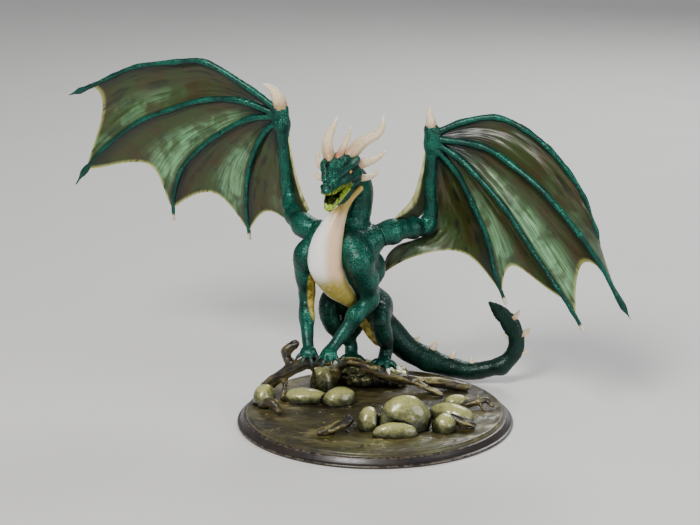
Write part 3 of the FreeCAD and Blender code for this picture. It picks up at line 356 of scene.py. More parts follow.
# Blocks are BLOCK samples on a side. They are filled in batches, CUBE blocks on a side kept
# together so that a limb's far pieces can be left out.
BLOCK = 12
CUBE = 4
BATCH = 40
COARSE_CHUNK = 200000
WORKERS = 4
FAR = 5.0
BOX_MARGIN = 1.0
HALF_DIAGONAL = 0.87
SAFETY = 1.4
COARSER = 1.0


def surface(field, box, voxel):
    """The zero surface of a field inside a box, sampled only in blocks near it."""
    voxel = voxel * COARSER
    low = np.asarray(box[0], np.float32) - BOX_MARGIN
    high = np.asarray(box[1], np.float32) + BOX_MARGIN
    blocks = np.ceil((high - low) / voxel / BLOCK).astype(int)
    size = BLOCK * voxel
    index = np.stack(np.meshgrid(*[np.arange(n) for n in blocks], indexing="ij"), -1).reshape(-1, 3)
    centres = (low + (index + 0.5) * size).astype(np.float32)
    chunks = np.array_split(centres, 1 + len(centres) // COARSE_CHUNK)
    coarse = np.concatenate([field(chunk) for chunk in chunks])
    near = np.abs(coarse) < size * HALF_DIAGONAL * SAFETY
    dense = np.where(coarse < 0, -FAR, FAR).astype(np.float32).reshape(blocks)
    dense = np.repeat(np.repeat(np.repeat(dense, BLOCK, 0), BLOCK, 1), BLOCK, 2)
    step = np.arange(BLOCK) * voxel
    local = np.stack(np.meshgrid(step, step, step, indexing="ij"), -1).reshape(-1, 3).astype(np.float32)
    chosen = index[near]
    cube = chosen // CUBE
    chosen = chosen[np.lexsort((cube[:, 2], cube[:, 1], cube[:, 0]))]

    def fill(part):
        points = (low + part[:, None, :] * size + local[None]).reshape(-1, 3).astype(np.float32)
        values = field(points).reshape(len(part), BLOCK, BLOCK, BLOCK)
        for (i, j, k), samples in zip(part * BLOCK, values):
            dense[i:i + BLOCK, j:j + BLOCK, k:k + BLOCK] = samples
    with ThreadPoolExecutor(WORKERS) as pool:
        list(pool.map(fill, [chosen[at:at + BATCH] for at in range(0, len(chosen), BATCH)]))
    grid = openvdb.FloatGrid(FAR)
    grid.copyFromArray(np.clip(dense, -FAR, FAR))
    points, quads = grid.convertToQuads(0.0)
    return low + points.astype(np.float32) * voxel, quads


# ------------------------------------------------------------------------------- meshes


def build_piece(name, verts, faces, attributes, material, body, nodes):
    """A smooth mesh object in the CAD's frame that stands for CAD nodes."""
    mesh = bpy.data.meshes.new(name)
    faces = np.asarray(faces, np.int32)
    corners = faces.shape[1]
    mesh.vertices.add(len(verts))
    mesh.vertices.foreach_set("co", (np.asarray(verts, np.float32) * MM).ravel())
    mesh.loops.add(faces.size)
    mesh.loops.foreach_set("vertex_index", faces.ravel())
    mesh.polygons.add(len(faces))
    mesh.polygons.foreach_set("loop_start", np.arange(0, faces.size, corners, dtype=np.int32))
    mesh.update(calc_edges=True)
    mesh.validate()
    mesh.polygons.foreach_set("use_smooth", np.ones(len(mesh.polygons), bool))
    for key, values in attributes.items():
        layer = mesh.attributes.new(key, "FLOAT", "POINT")
        layer.data.foreach_set("value", np.asarray(values, np.float32))
    mesh.materials.append(material)
    piece = bpy.data.objects.new(name, mesh)
    bpy.context.scene.collection.objects.link(piece)
    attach(piece, body)
    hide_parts(*nodes)
    return piece


def sides_along(path):
    """Side and up at each row of a path, carried along it without twist."""
    tangents = np.gradient(path[:, :3], axis=0)
    tangents /= np.linalg.norm(tangents, axis=1)[:, None]
    side = np.cross(tangents[0], (0.3, 0.5, 0.81))
    sides = []
    for tangent in tangents:
        side = side - tangent * (side @ tangent)
        side = side / np.linalg.norm(side)
        sides.append(side)
    sides = np.array(sides)
    return sides, np.cross(tangents, sides)


def band_quads(rows, around):
    """The vertex numbers of rings one after another, and the quads between them."""
    here = np.arange(rows * around).reshape(rows, around)
    beside = np.roll(here, -1, 1)
    return here, np.stack([here[:-1], beside[:-1], beside[1:], here[1:]], -1).reshape(-1, 4)


def ring_cap(ring):
    """Quads straight across a ring, which close it."""
    pairs, back = len(ring) // 2, ring[::-1]
    return np.stack([ring[:pairs - 1], back[:pairs - 1], back[1:pairs], ring[1:pairs]], -1)


TUBE_SPAN = 8


def tube(stations, sides, bump):
    """A round tapering tube with closed ends. Returns vertices, quads and shares of length.
    A bump gets the share along the tube and the turn round it, and returns a factor."""
    path = smooth_path(stations, TUBE_SPAN)
    side, up = sides_along(path)
    turn = np.linspace(0, 2 * math.pi, sides, endpoint=False)
    along, around = np.meshgrid(shares_along(path), turn, indexing="ij")
    radius = np.repeat(path[:, 3:4], sides, 1) * bump(along, around)
    ring = side[:, None] * np.cos(turn)[None, :, None] + up[:, None] * np.sin(turn)[None, :, None]
    verts = path[:, None, :3] + ring * radius[:, :, None]
    here, quads = band_quads(len(path), sides)
    caps = [path[0, :3], path[-1, :3]]
    first, last = here.size, here.size + 1
    fans = []
    for k in range(0, sides, 2):
        fans.append((first, here[0, (k + 2) % sides], here[0, (k + 1) % sides], here[0, k]))
        fans.append((last, here[-1, k], here[-1, (k + 1) % sides], here[-1, (k + 2) % sides]))
    verts = np.vstack([verts.reshape(-1, 3), caps])
    return verts, np.vstack([quads, fans]), np.concatenate([along.ravel(), [0, 1]])


def joined(parts):
    """Several meshes, each of vertices, quads and values, as one."""
    verts, faces, values, count = [], [], [], 0
    for v, f, s in parts:
        verts.append(v)
        faces.append(np.asarray(f) + count)
        values.append(s)
        count += len(v)
    return np.vstack(verts), np.vstack(faces), np.concatenate(values)


# ---------------------------------------------------------------------------- materials


def linear(r, g, b):
    """A colour given in sRGB 0..255."""
    return *(((c / 255 + 0.055) / 1.055) ** 2.4 if c > 10 else c / 255 / 12.92 for c in (r, g, b)), 1.0


class Paint:
    """A small helper that wires a node material."""

    def __init__(self, name):
        self.material = bpy.data.materials.new(name)
        self.material.use_nodes = True
        self.tree = self.material.node_tree
        self.shader = self.tree.nodes["Principled BSDF"]

    def node(self, kind, **settings):
        made = self.tree.nodes.new(kind)
        for key, value in settings.items():
            setattr(made, key, value)
        return made

    def link(self, value, socket):
        if isinstance(value, bpy.types.NodeSocket):
            self.tree.links.new(value, socket)
        else:
            socket.default_value = value

    def attribute(self, name):
        return self.node("ShaderNodeAttribute", attribute_name=name).outputs["Fac"]

    def coordinates(self, scale=(1, 1, 1)):
        place = self.node("ShaderNodeTexCoord").outputs["Object"]
        mapping = self.node("ShaderNodeMapping")
        self.link(place, mapping.inputs["Vector"])
        mapping.inputs["Scale"].default_value = scale
        return mapping.outputs["Vector"]

    def noise(self, size_mm, detail=3.0, rough=0.55, stretch=(1, 1, 1), vector=None):
        made = self.node("ShaderNodeTexNoise")
        self.link(vector or self.coordinates(stretch), made.inputs["Vector"])
        made.inputs["Scale"].default_value = 1000.0 / size_mm
        made.inputs["Detail"].default_value = detail
        made.inputs["Roughness"].default_value = rough
        return made.outputs["Fac"]

    def math(self, operation, a, b):
        made = self.node("ShaderNodeMath", operation=operation)
        self.link(a, made.inputs[0])
        self.link(b, made.inputs[1])
        return made.outputs[0]

    def times(self, a, b):
        return self.math("MULTIPLY", a, b)

    def remap(self, value, low, high, to_low=0.0, to_high=1.0):
        made = self.node("ShaderNodeMapRange", interpolation_type="SMOOTHSTEP")
        self.link(value, made.inputs["Value"])
        for key, number in zip(("From Min", "From Max", "To Min", "To Max"), (low, high, to_low, to_high)):
            made.inputs[key].default_value = number
        return made.outputs["Result"]

    def mix(self, factor, a, b):
        made = self.node("ShaderNodeMix", data_type="RGBA", clamp_factor=True)
        self.link(factor, made.inputs["Factor"])
        self.link(a, made.inputs[6])
        self.link(b, made.inputs[7])
        return made.outputs[2]

    def facing_up(self):
        """How far a surface faces up and towards the figure's front. The paints use it for painted highlight,
        along with a dry brush, on top and for painted shade underneath.
        """
        normal = self.node("ShaderNodeNewGeometry").outputs["Normal"]
        split = self.node("ShaderNodeSeparateXYZ")
        self.link(normal, split.inputs["Vector"])
        forward = self.times(split.outputs["Y"], -0.35)
        return self.math("ADD", split.outputs["Z"], forward)

    def bump(self, height, strength, distance_mm):
        made = self.node("ShaderNodeBump")
        made.inputs["Strength"].default_value = strength
        made.inputs["Distance"].default_value = distance_mm * MM
        self.link(height, made.inputs["Height"])
        self.link(made.outputs["Normal"], self.shader.inputs["Normal"])

    def finish(self, colour, roughness, metallic=0.0, coat=0.0, coat_roughness=0.1, specular=0.5):
        self.link(colour, self.shader.inputs["Base Color"])
        self.link(roughness, self.shader.inputs["Roughness"])
        self.link(metallic, self.shader.inputs["Metallic"])
        self.shader.inputs["Coat Weight"].default_value = coat
        self.shader.inputs["Coat Roughness"].default_value = coat_roughness
        self.shader.inputs["Specular IOR Level"].default_value = specular
        return self.material


def lime_colour(p, relief):
    """Lime green with an olive wash in the hollows."""
    grain = p.noise(0.9, 3.0, 0.6)
    base = p.mix(p.remap(grain, 0.35, 0.65), linear(118, 146, 12), linear(172, 200, 62))
    return p.mix(p.remap(relief, 0.5, 0.1), base, linear(52, 60, 8))


def skin_paint():
    """Deep teal metallic paint, black-washed between the scales. It has painted shade on the undersides, in
    the crevices and over the tail and hind legs, and a dry brush with painted highlight on top.
    """
    p = Paint("skin_paint")
    relief, cavity = p.attribute("relief"), p.attribute("cavity")
    tan, depth = p.attribute("tan"), p.attribute("shade")
    broad = p.noise(9.0, 2.0)
    speckle = p.noise(0.55, 2.0, 0.6)
    body = p.mix(p.remap(broad, 0.3, 0.7), linear(0, 58, 48), linear(0, 98, 80))
    body = p.mix(p.remap(relief, 0.0, 0.25), linear(0, 48, 40), body)
    # Painted shade: surfaces that face down are darkened towards near-black teal.
    body = p.mix(p.remap(p.facing_up(), -0.75, 0.15), linear(0, 22, 22), body)
    # Painted shade: where nearby parts close the skin in, it goes near black.
    body = p.mix(p.remap(cavity, 0.2, 0.8), linear(0, 12, 13), body)
    # Painted highlight together with a dry brush: emerald on raised scales that face up, heaviest on the
    # highlight spots.
    drybrush_and_highlight = p.times(p.remap(p.facing_up(), -0.3, 0.7), p.remap(relief, 0.3, 0.8))
    drybrush_and_highlight = p.times(drybrush_and_highlight, p.remap(speckle, 0.42, 0.6))
    drybrush_and_highlight = p.times(drybrush_and_highlight, p.remap(cavity, 0.5, 1.0))
    drybrush_and_highlight = p.times(drybrush_and_highlight, p.attribute("highlight_and_drybrush"))
    body = p.mix(p.times(drybrush_and_highlight, 0.6), body, linear(72, 208, 164))
    # Painted shade: the tail and the hind legs are darkened as a whole.
    body = p.mix(depth, body, linear(2, 26, 20))
    warm = p.mix(p.remap(p.noise(2.2, 3.0), 0.35, 0.65), linear(128, 112, 30), linear(204, 186, 88))
    body = p.mix(tan, body, warm)
    body = p.mix(p.attribute("lime"), body, lime_colour(p, relief))
    body = p.mix(p.attribute("mouth"), body, linear(14, 8, 8))
    body = p.mix(p.attribute("bone"), body, linear(232, 214, 190))
    rough = p.remap(speckle, 0.3, 0.7, 0.36, 0.5)
    metal = p.times(p.math("SUBTRACT", 1.0, tan), 0.45)
    p.bump(p.noise(0.4, 2.0), 0.25, 0.08)
    return p.finish(body, rough, metal, coat=0.12, coat_roughness=0.25, specular=0.4)


def membrane_paint():
    """Olive and brown membrane, darker by the bones and the wrist, with pearly strokes beside
    the next finger and a thin pale edge."""
    p = Paint("membrane_paint")
    across, along = p.attribute("across"), p.attribute("along")
    relief = p.attribute("relief")
    place = p.node("ShaderNodeCombineXYZ")
    p.link(p.times(across, 0.022), place.inputs["X"])
    p.link(p.times(along, 0.004), place.inputs["Y"])
    streaks = p.noise(0.9, 4.0, 0.6, vector=place.outputs["Vector"])
    blotch = p.noise(11.0, 3.0)
    base = p.mix(p.remap(blotch, 0.35, 0.65), linear(54, 46, 12), linear(44, 62, 16))
    base = p.mix(p.remap(relief, 0.45, 0.0), base, linear(26, 28, 8))
    clear = p.times(p.remap(across, 0.0, 0.2), p.remap(across, 1.0, 0.93))
    base = p.mix(clear, linear(12, 22, 14), base)
    base = p.mix(p.remap(along, 0.06, 0.34), linear(8, 22, 16), base)
    pearl = p.attribute("pearl")
    beside = p.times(p.remap(across, 0.34, 0.74), p.remap(across, 0.99, 0.9))
    start = p.math("SUBTRACT", 0.62, p.times(pearl, 0.5))
    band = p.remap(p.math("SUBTRACT", along, start), 0.0, 0.3)
    strokes = p.times(p.times(band, beside), p.remap(streaks, 0.3, 0.66, 0.2, 1.0))
    strokes = p.times(strokes, p.remap(p.noise(7.0, 2.0), 0.38, 0.58, 0.3, 1.0))
    strokes = p.times(strokes, p.times(pearl, p.remap(along, 1.02, 0.9, 0.35, 1.0)))
    base = p.mix(p.times(strokes, 0.75), base, linear(138, 200, 146))
    edge = p.times(p.remap(along, 0.968, 0.998), p.remap(streaks, 0.3, 0.55))
    base = p.mix(p.times(edge, 0.7), base, linear(180, 184, 104))
    p.bump(streaks, 0.3, 0.12)
    return p.finish(base, p.remap(streaks, 0.3, 0.7, 0.3, 0.5), 0.15, coat=0.2, coat_roughness=0.25)


def pale_web_paint():
    """Pale brushed paint along the web's free edge, and dark olive behind it towards the arm, which is
    painted shade.
    """
    p = Paint("pale_web_paint")
    across = p.attribute("across")
    grain = p.noise(2.6, 4.0, 0.6, stretch=(1, 1, 0.35))
    base = p.mix(p.remap(grain, 0.35, 0.65), linear(120, 122, 60), linear(214, 214, 150))
    # Painted shade: the web darkens towards the arm.
    base = p.mix(p.remap(across, 0.42, 0.16), linear(34, 40, 16), base)
    return p.finish(base, 0.45, 0.0, coat=0.15, coat_roughness=0.3)


def belly_paint():
    """White towards the light, peach round the far side, olive-tan below with a pale rim."""
    p = Paint("belly_paint")
    low, side, rim = p.attribute("low"), p.attribute("side"), p.attribute("rim")
    grain = p.noise(1.4, 3.0, 0.5)
    base = p.mix(side, linear(252, 251, 246), linear(232, 198, 158))
    base = p.mix(p.times(low, p.remap(grain, 0.0, 0.6, 0.4, 1.0)), base, linear(164, 148, 62))
    base = p.mix(rim, base, linear(248, 238, 206))
    base = p.mix(p.attribute("throat"), base, linear(192, 166, 88))
    base = p.mix(p.remap(p.attribute("relief"), 0.15, -0.1), base, linear(190, 160, 120))
    p.bump(grain, 0.2, 0.1)
    return p.finish(base, 0.36, 0.0, coat=0.2, coat_roughness=0.2)


def horn_paint(name, light, dark, tip=linear(250, 244, 228)):
    """Bone paint, browner at the root, with fine lengthwise brushing."""
    p = Paint(name)
    share = p.attribute("share")
    grain = p.noise(1.0, 4.0, 0.6, stretch=(1, 1, 0.5))
    base = p.mix(p.remap(share, 0.0, 0.5), dark, light)
    base = p.mix(p.times(p.remap(grain, 0.5, 0.75), 0.5), base, linear(126, 96, 70))
    base = p.mix(p.remap(share, 0.85, 1.0), base, tip)
    p.bump(grain, 0.3, 0.1)
    return p.finish(base, 0.42, 0.0, coat=0.15, coat_roughness=0.25)


def lime_paint():
    """Lime lips and jaw with an olive wash."""
    p = Paint("lime_paint")
    base = lime_colour(p, p.attribute("relief"))
    base = p.mix(p.attribute("mouth"), base, linear(16, 8, 8))
    p.bump(p.noise(0.9, 3.0, 0.6), 0.4, 0.12)
    return p.finish(base, 0.38, 0.0, coat=0.2, coat_roughness=0.2)


def eye_paint():
    """Wet amber with darker flecks."""
    p = Paint("eye_paint")
    base = p.mix(p.remap(p.noise(0.7, 1.0), 0.4, 0.6), linear(30, 14, 0), linear(220, 150, 20))
    return p.finish(base, 0.12, 0.0, coat=0.8, coat_roughness=0.05)


def rock_paint():
    """Glossy grey-olive stone with painted highlight and a pale yellow dry brush on top, and painted shade on
    the undersides, in the crevices and down by the ground.
    """
    p = Paint("rock_paint")
    cavity, relief = p.attribute("cavity"), p.attribute("relief")
    blotch, grain = p.noise(4.5, 4.0), p.noise(0.8, 4.0, 0.65)
    base = p.mix(p.remap(blotch, 0.35, 0.65), linear(46, 48, 28), linear(88, 90, 54))
    # Painted highlight together with a dry brush on the surfaces that face up.
    up = p.math("ADD", p.facing_up(), p.times(p.math("SUBTRACT", grain, 0.5), 0.6))
    base = p.mix(p.times(p.remap(up, 0.35, 1.25), 0.8), base, linear(206, 204, 126))
    # Painted shade on the undersides.
    base = p.mix(p.remap(p.facing_up(), 0.6, -0.2), base, linear(18, 19, 9))
    base = p.mix(p.remap(relief, 0.15, -0.2), base, linear(24, 22, 10))
    # Painted shade where other stones or the ground stand close.
    base = p.mix(p.remap(cavity, 0.7, 0.2), base, linear(18, 16, 8))
    p.bump(grain, 0.25, 0.15)
    return p.finish(base, p.remap(grain, 0.3, 0.7, 0.2, 0.4), 0.1, coat=0.5, coat_roughness=0.12)


def root_paint():
    """Bark with long fibres, olive-brown. Its pale ridges are a dry brush with painted highlight on top, and
    it has painted shade in the hollows and by the ground.
    """
    p = Paint("root_paint")
    relief, cavity = p.attribute("relief"), p.attribute("cavity")
    grain = p.noise(0.7, 4.0, 0.6)
    base = p.mix(p.remap(relief, 0.1, 0.75), linear(20, 16, 7), linear(78, 68, 36))
    # Painted highlight with a dry brush on raised fibres that face up.
    drybrush_and_highlight = p.times(p.remap(p.facing_up(), 0.0, 0.9), p.remap(relief, 0.5, 1.0))
    base = p.mix(p.times(drybrush_and_highlight, p.remap(grain, 0.3, 0.65)), base, linear(186, 174, 108))
    # Painted shade where the bark is closed in or near the ground.
    base = p.mix(p.remap(cavity, 0.7, 0.2), base, linear(20, 14, 6))
    p.bump(grain, 0.4, 0.15)
    return p.finish(base, 0.42, 0.0, coat=0.25, coat_roughness=0.25)


def ground_paint():
    """Wet olive-brown mud with grit, mossy towards the front."""
    p = Paint("ground_paint")
    relief, moss = p.attribute("relief"), p.attribute("moss")
    blotch = p.noise(9.0, 4.0, 0.6, stretch=(0.5, 1, 1))
    grain = p.noise(0.6, 4.0, 0.65, stretch=(0.45, 1, 1))
    base = p.mix(p.remap(blotch, 0.35, 0.65), linear(38, 34, 16), linear(78, 70, 40))
    base = p.mix(p.remap(relief, 0.55, 0.95), base, linear(132, 122, 80))
    base = p.mix(p.remap(relief, 0.45, 0.1), base, linear(18, 15, 7))
    base = p.mix(p.times(moss, p.remap(grain, 0.4, 0.6)), base, linear(96, 100, 22))
    p.bump(grain, 0.6, 0.2)
    return p.finish(base, p.remap(grain, 0.3, 0.7, 0.3, 0.55), 0.0, coat=0.25, coat_roughness=0.2)


def plinth_paint():
    """Very dark brown satin paint, rubbed paler along its edges."""
    p = Paint("plinth_paint")
    rub, grain = p.attribute("rub"), p.noise(1.6, 4.0, 0.6)
    base = p.mix(p.remap(p.noise(12.0, 3.0), 0.35, 0.65), linear(20, 14, 12), linear(40, 30, 25))
    worn = p.times(rub, p.remap(grain, 0.42, 0.6))
    base = p.mix(p.times(worn, 0.6), base, linear(120, 108, 90))
    p.bump(grain, 0.15, 0.1)
    return p.finish(base, p.remap(grain, 0.3, 0.7, 0.3, 0.45), 0.0, coat=0.2, coat_roughness=0.2)


def steel():
    """Cut steel rod with drawn lines."""
    p = Paint("steel_rod")
    lines = p.noise(0.5, 3.0, stretch=(1, 1, 0.1))
    base = p.mix(lines, linear(120, 122, 126), linear(190, 192, 196))
    return p.finish(base, p.remap(lines, 0.3, 0.7, 0.25, 0.4), 1.0)


SKIN = skin_paint()
MEMBRANE = membrane_paint()
PALE_WEB = pale_web_paint()
BELLY_PAINT = belly_paint()
HORN = horn_paint("horn_paint", linear(240, 220, 182), linear(178, 140, 96))
CREST = horn_paint("crest_paint", linear(236, 212, 176), linear(168, 92, 66))
CLAW = horn_paint("claw_paint", linear(244, 240, 226), linear(150, 136, 108))
DARK_CLAW = horn_paint("dark_claw_paint", linear(6, 52, 46), linear(2, 26, 24), linear(40, 84, 76))
LIME = lime_paint()
EYE = eye_paint()
ROCK = rock_paint()
ROOT = root_paint()
GROUND = ground_paint()
PLINTH = plinth_paint()
STEEL = steel()

# --------------------------------------------------------------------- the body's fields


def unit(v):
    v = np.asarray(v, np.float32)
    return v / np.linalg.norm(v)


HEAD_ORIGIN = np.array((-12.2, 2.6, 92.8), np.float32)
FORWARD = unit((-0.33, -0.91, -0.249))
LEFTWARD = unit((0.94, -0.341, 0.0))
UPWARD = np.cross(FORWARD, LEFTWARD)
HEAD_AXES = np.array((FORWARD, LEFTWARD, UPWARD), np.float32)
HEAD_LENGTH = 0.92


def in_head(f, l, u):
    """A point given forward, to the dragon's left and up from the middle of the skull."""
    return HEAD_ORIGIN + f * HEAD_LENGTH * FORWARD + l * LEFTWARD + u * UPWARD


def head_limb(stations):
    return limb([(*in_head(f, l, u), w, h) for f, l, u, w, h in stations], LEFTWARD)


def head_ball(f, l, u, radii):
    return ball(in_head(f, l, u), radii, HEAD_AXES)


def both_sides(field):
    """A field on the head's left side and its mirror image. The box stays the left side's."""
    def both(p):
        off = (p - HEAD_ORIGIN) @ LEFTWARD
        return field(p + (np.abs(off) - off)[:, None] * LEFTWARD)
    both.box = field.box
    return both


def toe_fields(stations, offsets):
    """Four knuckled toes spread from the last station of a leg."""
    root = np.array(stations[-1][:3], np.float32)
    toes = []
    for offset in offsets:
        way = unit(offset)
        tip = root + np.asarray(offset, np.float32)
        start = root + way * 0.3
        knuckle = start * 0.45 + tip * 0.55 + np.array((0, 0, 0.75), np.float32)
        toes.append(limb([(*start, 1.35, 1.25), (*knuckle, 1.25, 1.3), (*tip, 0.95, 0.95)], LATERAL, 3))
    return toes


def seat_axes(wing):
    """A wing's seat, the way it pulls off, and the way its peg's flat faces."""
    seat, pull = np.array(wing["seat"], np.float32), unit(wing["pull"])
    turn = Vector((0, 0, 1)).rotation_difference(Vector(pull))
    return seat, pull, np.array(turn @ Vector((1, 0, 0)), np.float32)


def about_axis(p, seat, pull):
    """How far points are along a wing's axis from its seat, and how far they are off the axis."""
    local = p - seat
    along = local @ pull
    return along, np.sqrt(np.maximum(np.einsum("ij,ij->i", local, local) - along * along, 0))


PEG_ROOM = 2.02
FLAT_ROOM = 1.34
SOCKET_DEPTH = 7.2
ROOT_ROOM = 7.5


def socket_field(wing):
    """The D-section hole that a wing's peg goes into."""
    seat, pull, flat = seat_axes(wing)

    def field(p):
        along, off = about_axis(p, seat, pull)
        return np.maximum(np.maximum(off - PEG_ROOM, (p - seat) @ flat - FLAT_ROOM), -along - SOCKET_DEPTH)
    return field


def front_of_seat(wing):
    """The space that a wing's root sits in."""
    seat, pull, _ = seat_axes(wing)

    def field(p):
        along, off = about_axis(p, seat, pull)
        return np.maximum(-along, off - ROOT_ROOM)
    return field


def seat_limb(wing, rings):
    """A round limb on a wing's axis, from rings of distance past the seat and radius."""
    seat, pull, _ = seat_axes(wing)
    return limb([(*(seat + pull * away), r) for away, r in rings], DEPTH)


def boss_field(wing):
    """The shoulder that a wing's socket is sunk in."""
    return seat_limb(wing, ((-11.5, 6.2), (-7.0, 5.6), (-3.0, 4.9), (2.0, 4.2)))


torso_field = merged(
    3.0, limb(TRUNK, LATERAL), boss_field(WINGS["left"]), boss_field(WINGS["right"]),
    ball((-8.6, 8.6, 64.0), (4.6, 4.2, 5.0)), ball((-20.6, 12.4, 63.6), (4.6, 4.2, 5.0)),
    ball((-3.4, 14.6, 59.0), (4.4, 5.0, 6.0)), ball((-1.0, 20.0, 52.0), (5.0, 5.0, 6.6)),
    ball((-8.0, 19.4, 66.6), (5.6, 4.6, 4.0)))
neck_field = merged(
    2.0, limb(NECK, LATERAL),
    limb([(-8.2, 5.2, 89.0, 2.6, 2.6), (-9.6, 6.0, 84.0, 2.2, 2.2), (-11.0, 8.6, 78.0, 2.4, 2.4)], LATERAL))
head_field = merged(
    1.1,
    head_limb([(-4.2, 0, 0.2, 4.8, 3.7), (0.0, 0, 0.0, 6.0, 4.2), (5.2, 0, -0.2, 5.1, 3.4),
               (10.2, 0, -0.5, 3.3, 2.5), (14.4, 0, -0.5, 2.5, 2.0), (16.9, 0, -0.8, 2.1, 1.5),
               (18.0, 0, -1.0, 1.4, 0.9)]),
    both_sides(merged(
        0.8,
        head_limb([(-4.4, 4.5, 2.2, 1.5, 1.4), (0.5, 5.2, 3.0, 1.4, 1.2), (4.6, 5.0, 3.0, 1.2, 1.0),
                   (8.6, 3.4, 2.1, 0.8, 0.8), (13.2, 1.8, 1.5, 0.6, 0.6)]),
        head_limb([(-3.5, 2.2, 4.0, 0.9, 0.8), (4.0, 1.9, 3.3, 0.8, 0.7), (10.0, 1.1, 2.1, 0.5, 0.5)]),
        head_limb([(-1.0, 5.6, -1.4, 1.7, 2.2), (3.6, 5.0, -1.2, 1.2, 1.4), (8.0, 3.6, -0.9, 0.8, 0.9)]),
        head_limb([(-2.0, 4.6, -4.0, 1.8, 2.0), (1.5, 4.2, -4.6, 1.5, 1.8)]),
        head_ball(16.6, 1.35, 0.5, (1.1, 0.8, 0.75)))),
    head_limb([(-4.0, 0, 4.3, 1.0, 0.8), (4.0, 0, 3.6, 0.9, 0.6), (12.0, 0, 1.8, 0.6, 0.5),
               (17.0, 0, 0.6, 0.5, 0.4)]))
LIP_STATIONS = [(18.0, 0.0, -1.7, 0.65, 0.6), (16.4, 1.9, -2.0, 0.65, 0.6), (11.0, 2.9, -2.5, 0.6, 0.65),
                (6.0, 3.7, -3.0, 0.65, 0.75), (2.6, 3.9, -4.6, 0.7, 0.8)]
lip_field = both_sides(head_limb(LIP_STATIONS))
head_field = merged(0.5, head_field, lip_field)
head_field = carved(
    head_field, 0.4,
    both_sides(head_ball(5.0, 5.5, 1.6, (1.6, 1.1, 1.1))),
    both_sides(head_ball(17.4, 1.5, 0.75, (0.5, 0.32, 0.3))),
    head_limb([(17.0, 0, -2.6, 1.3, 0.7), (10.0, 0, -3.1, 2.2, 1.2), (3.0, 0, -4.0, 2.9, 1.6)]))
lid_field = both_sides(merged(
    0.3,
    head_limb([(3.3, 5.2, 2.1, 0.4, 0.4), (4.9, 5.45, 2.6, 0.45, 0.4), (6.7, 4.6, 1.9, 0.35, 0.35)]),
    head_limb([(3.5, 5.2, 0.9, 0.35, 0.35), (4.9, 5.3, 0.6, 0.4, 0.35), (6.5, 4.5, 0.9, 0.35, 0.35)])))
head_field = merged(0.35, head_field, lid_field)
jaw_field = merged(
    0.8,
    head_limb([(1.6, 0, -5.6, 3.6, 1.5), (7.0, 0, -6.6, 3.2, 1.3), (12.0, 0, -7.4, 2.5, 1.3),
               (16.6, 0, -7.9, 1.7, 1.2)]),
    both_sides(head_limb([(2.2, 3.5, -4.6, 0.8, 1.2), (7.0, 3.1, -5.5, 0.7, 1.0),
                          (12.0, 2.3, -6.2, 0.65, 0.9), (16.4, 0.9, -6.7, 0.7, 0.8)])),
    head_limb([(13.0, 0, -8.9, 0.7, 0.8), (15.4, 0, -9.3, 0.5, 0.7)]))
jaw_field = carved(jaw_field, 0.5, head_limb([(4.0, 0, -5.0, 1.8, 0.8), (9.0, 0, -5.7, 1.6, 0.7),
                                              (14.6, 0, -6.6, 0.9, 0.5)]))

THIGH_FLAP = limb([(-5.6, 28.2, 31.6, 2.6, 1.7), (-2.6, 27.6, 26.6, 2.5, 1.5), (0.9, 26.8, 21.4, 1.5, 1.2)],
                  LATERAL)
MUSCLES = {
    "left_foreleg": [ball((-5.6, 6.2, 58.6), (4.9, 4.8, 5.4)), ball((-2.2, 9.4, 51.0), (3.6, 3.8, 5.4)),
                     ball((-1.6, 12.0, 42.4), (2.8, 3.0, 3.0)), ball((-7.6, 7.6, 37.4), (2.9, 2.9, 3.4))],
    "right_foreleg": [ball((-24.6, 12.6, 58.6), (4.6, 4.7, 5.2)), ball((-25.4, 15.0, 50.8), (3.3, 3.6, 5.2)),
                      ball((-24.9, 17.4, 43.4), (2.5, 2.8, 2.9)), ball((-24.8, 12.0, 36.0), (2.6, 2.8, 3.8))],
    "left_hindleg": [ball((1.6, 30.6, 33.8), (4.8, 7.0, 6.2)), ball((3.0, 23.2, 26.2), (2.8, 3.1, 4.2)),
                     THIGH_FLAP],
    "right_hindleg": [ball((-12.0, 34.0, 36.2), (4.8, 6.4, 6.0)), ball((-15.8, 28.2, 28.8), (2.8, 3.1, 4.0)),
                      ball((-8.4, 33.6, 27.4), (4.6, 4.2, 6.4))],
}


def leg_field(name):
    """A leg with its muscles and toes."""
    stations, toes = LEGS[name]
    body = merged(1.8, limb(stations, LATERAL), *MUSCLES[name])
    return merged(0.7, body, *toe_fields(stations, toes))


OWN = {
    "torso": torso_field, "neck": neck_field, "head": head_field,
    "tail_base": limb(TAIL_BASE, DEPTH), "tail_mid": limb(TAIL_MID, DEPTH), "tail_tip": limb(TAIL_TIP, DEPTH),
    **{name: leg_field(name) for name in LEGS},
}
NEIGHBOURS = {
    "torso": ("neck", "tail_base", *LEGS), "neck": ("torso", "head", "left_foreleg", "right_foreleg"),
    "head": ("neck",), "tail_base": ("torso", "tail_mid", "left_hindleg", "right_hindleg"),
    "tail_mid": ("tail_base", "tail_tip"), "tail_tip": ("tail_mid",),
    "left_foreleg": ("torso", "neck"), "right_foreleg": ("torso", "neck"),
    "left_hindleg": ("torso", "tail_base"), "right_hindleg": ("torso", "tail_base"),
}
FILLETS = {"head": 1.2, "neck": 2.0}
CUTTERS = [tool for wing in WINGS.values() for tool in (front_of_seat(wing), socket_field(wing))]
BOX_REACH = 5.0


def near_box(p, field):
    """Whether any of the points might be near a field's shape."""
    low, high = p.min(0) - BOX_REACH, p.max(0) + BOX_REACH
    return not (np.any(field.box[0] > high) or np.any(field.box[1] < low))


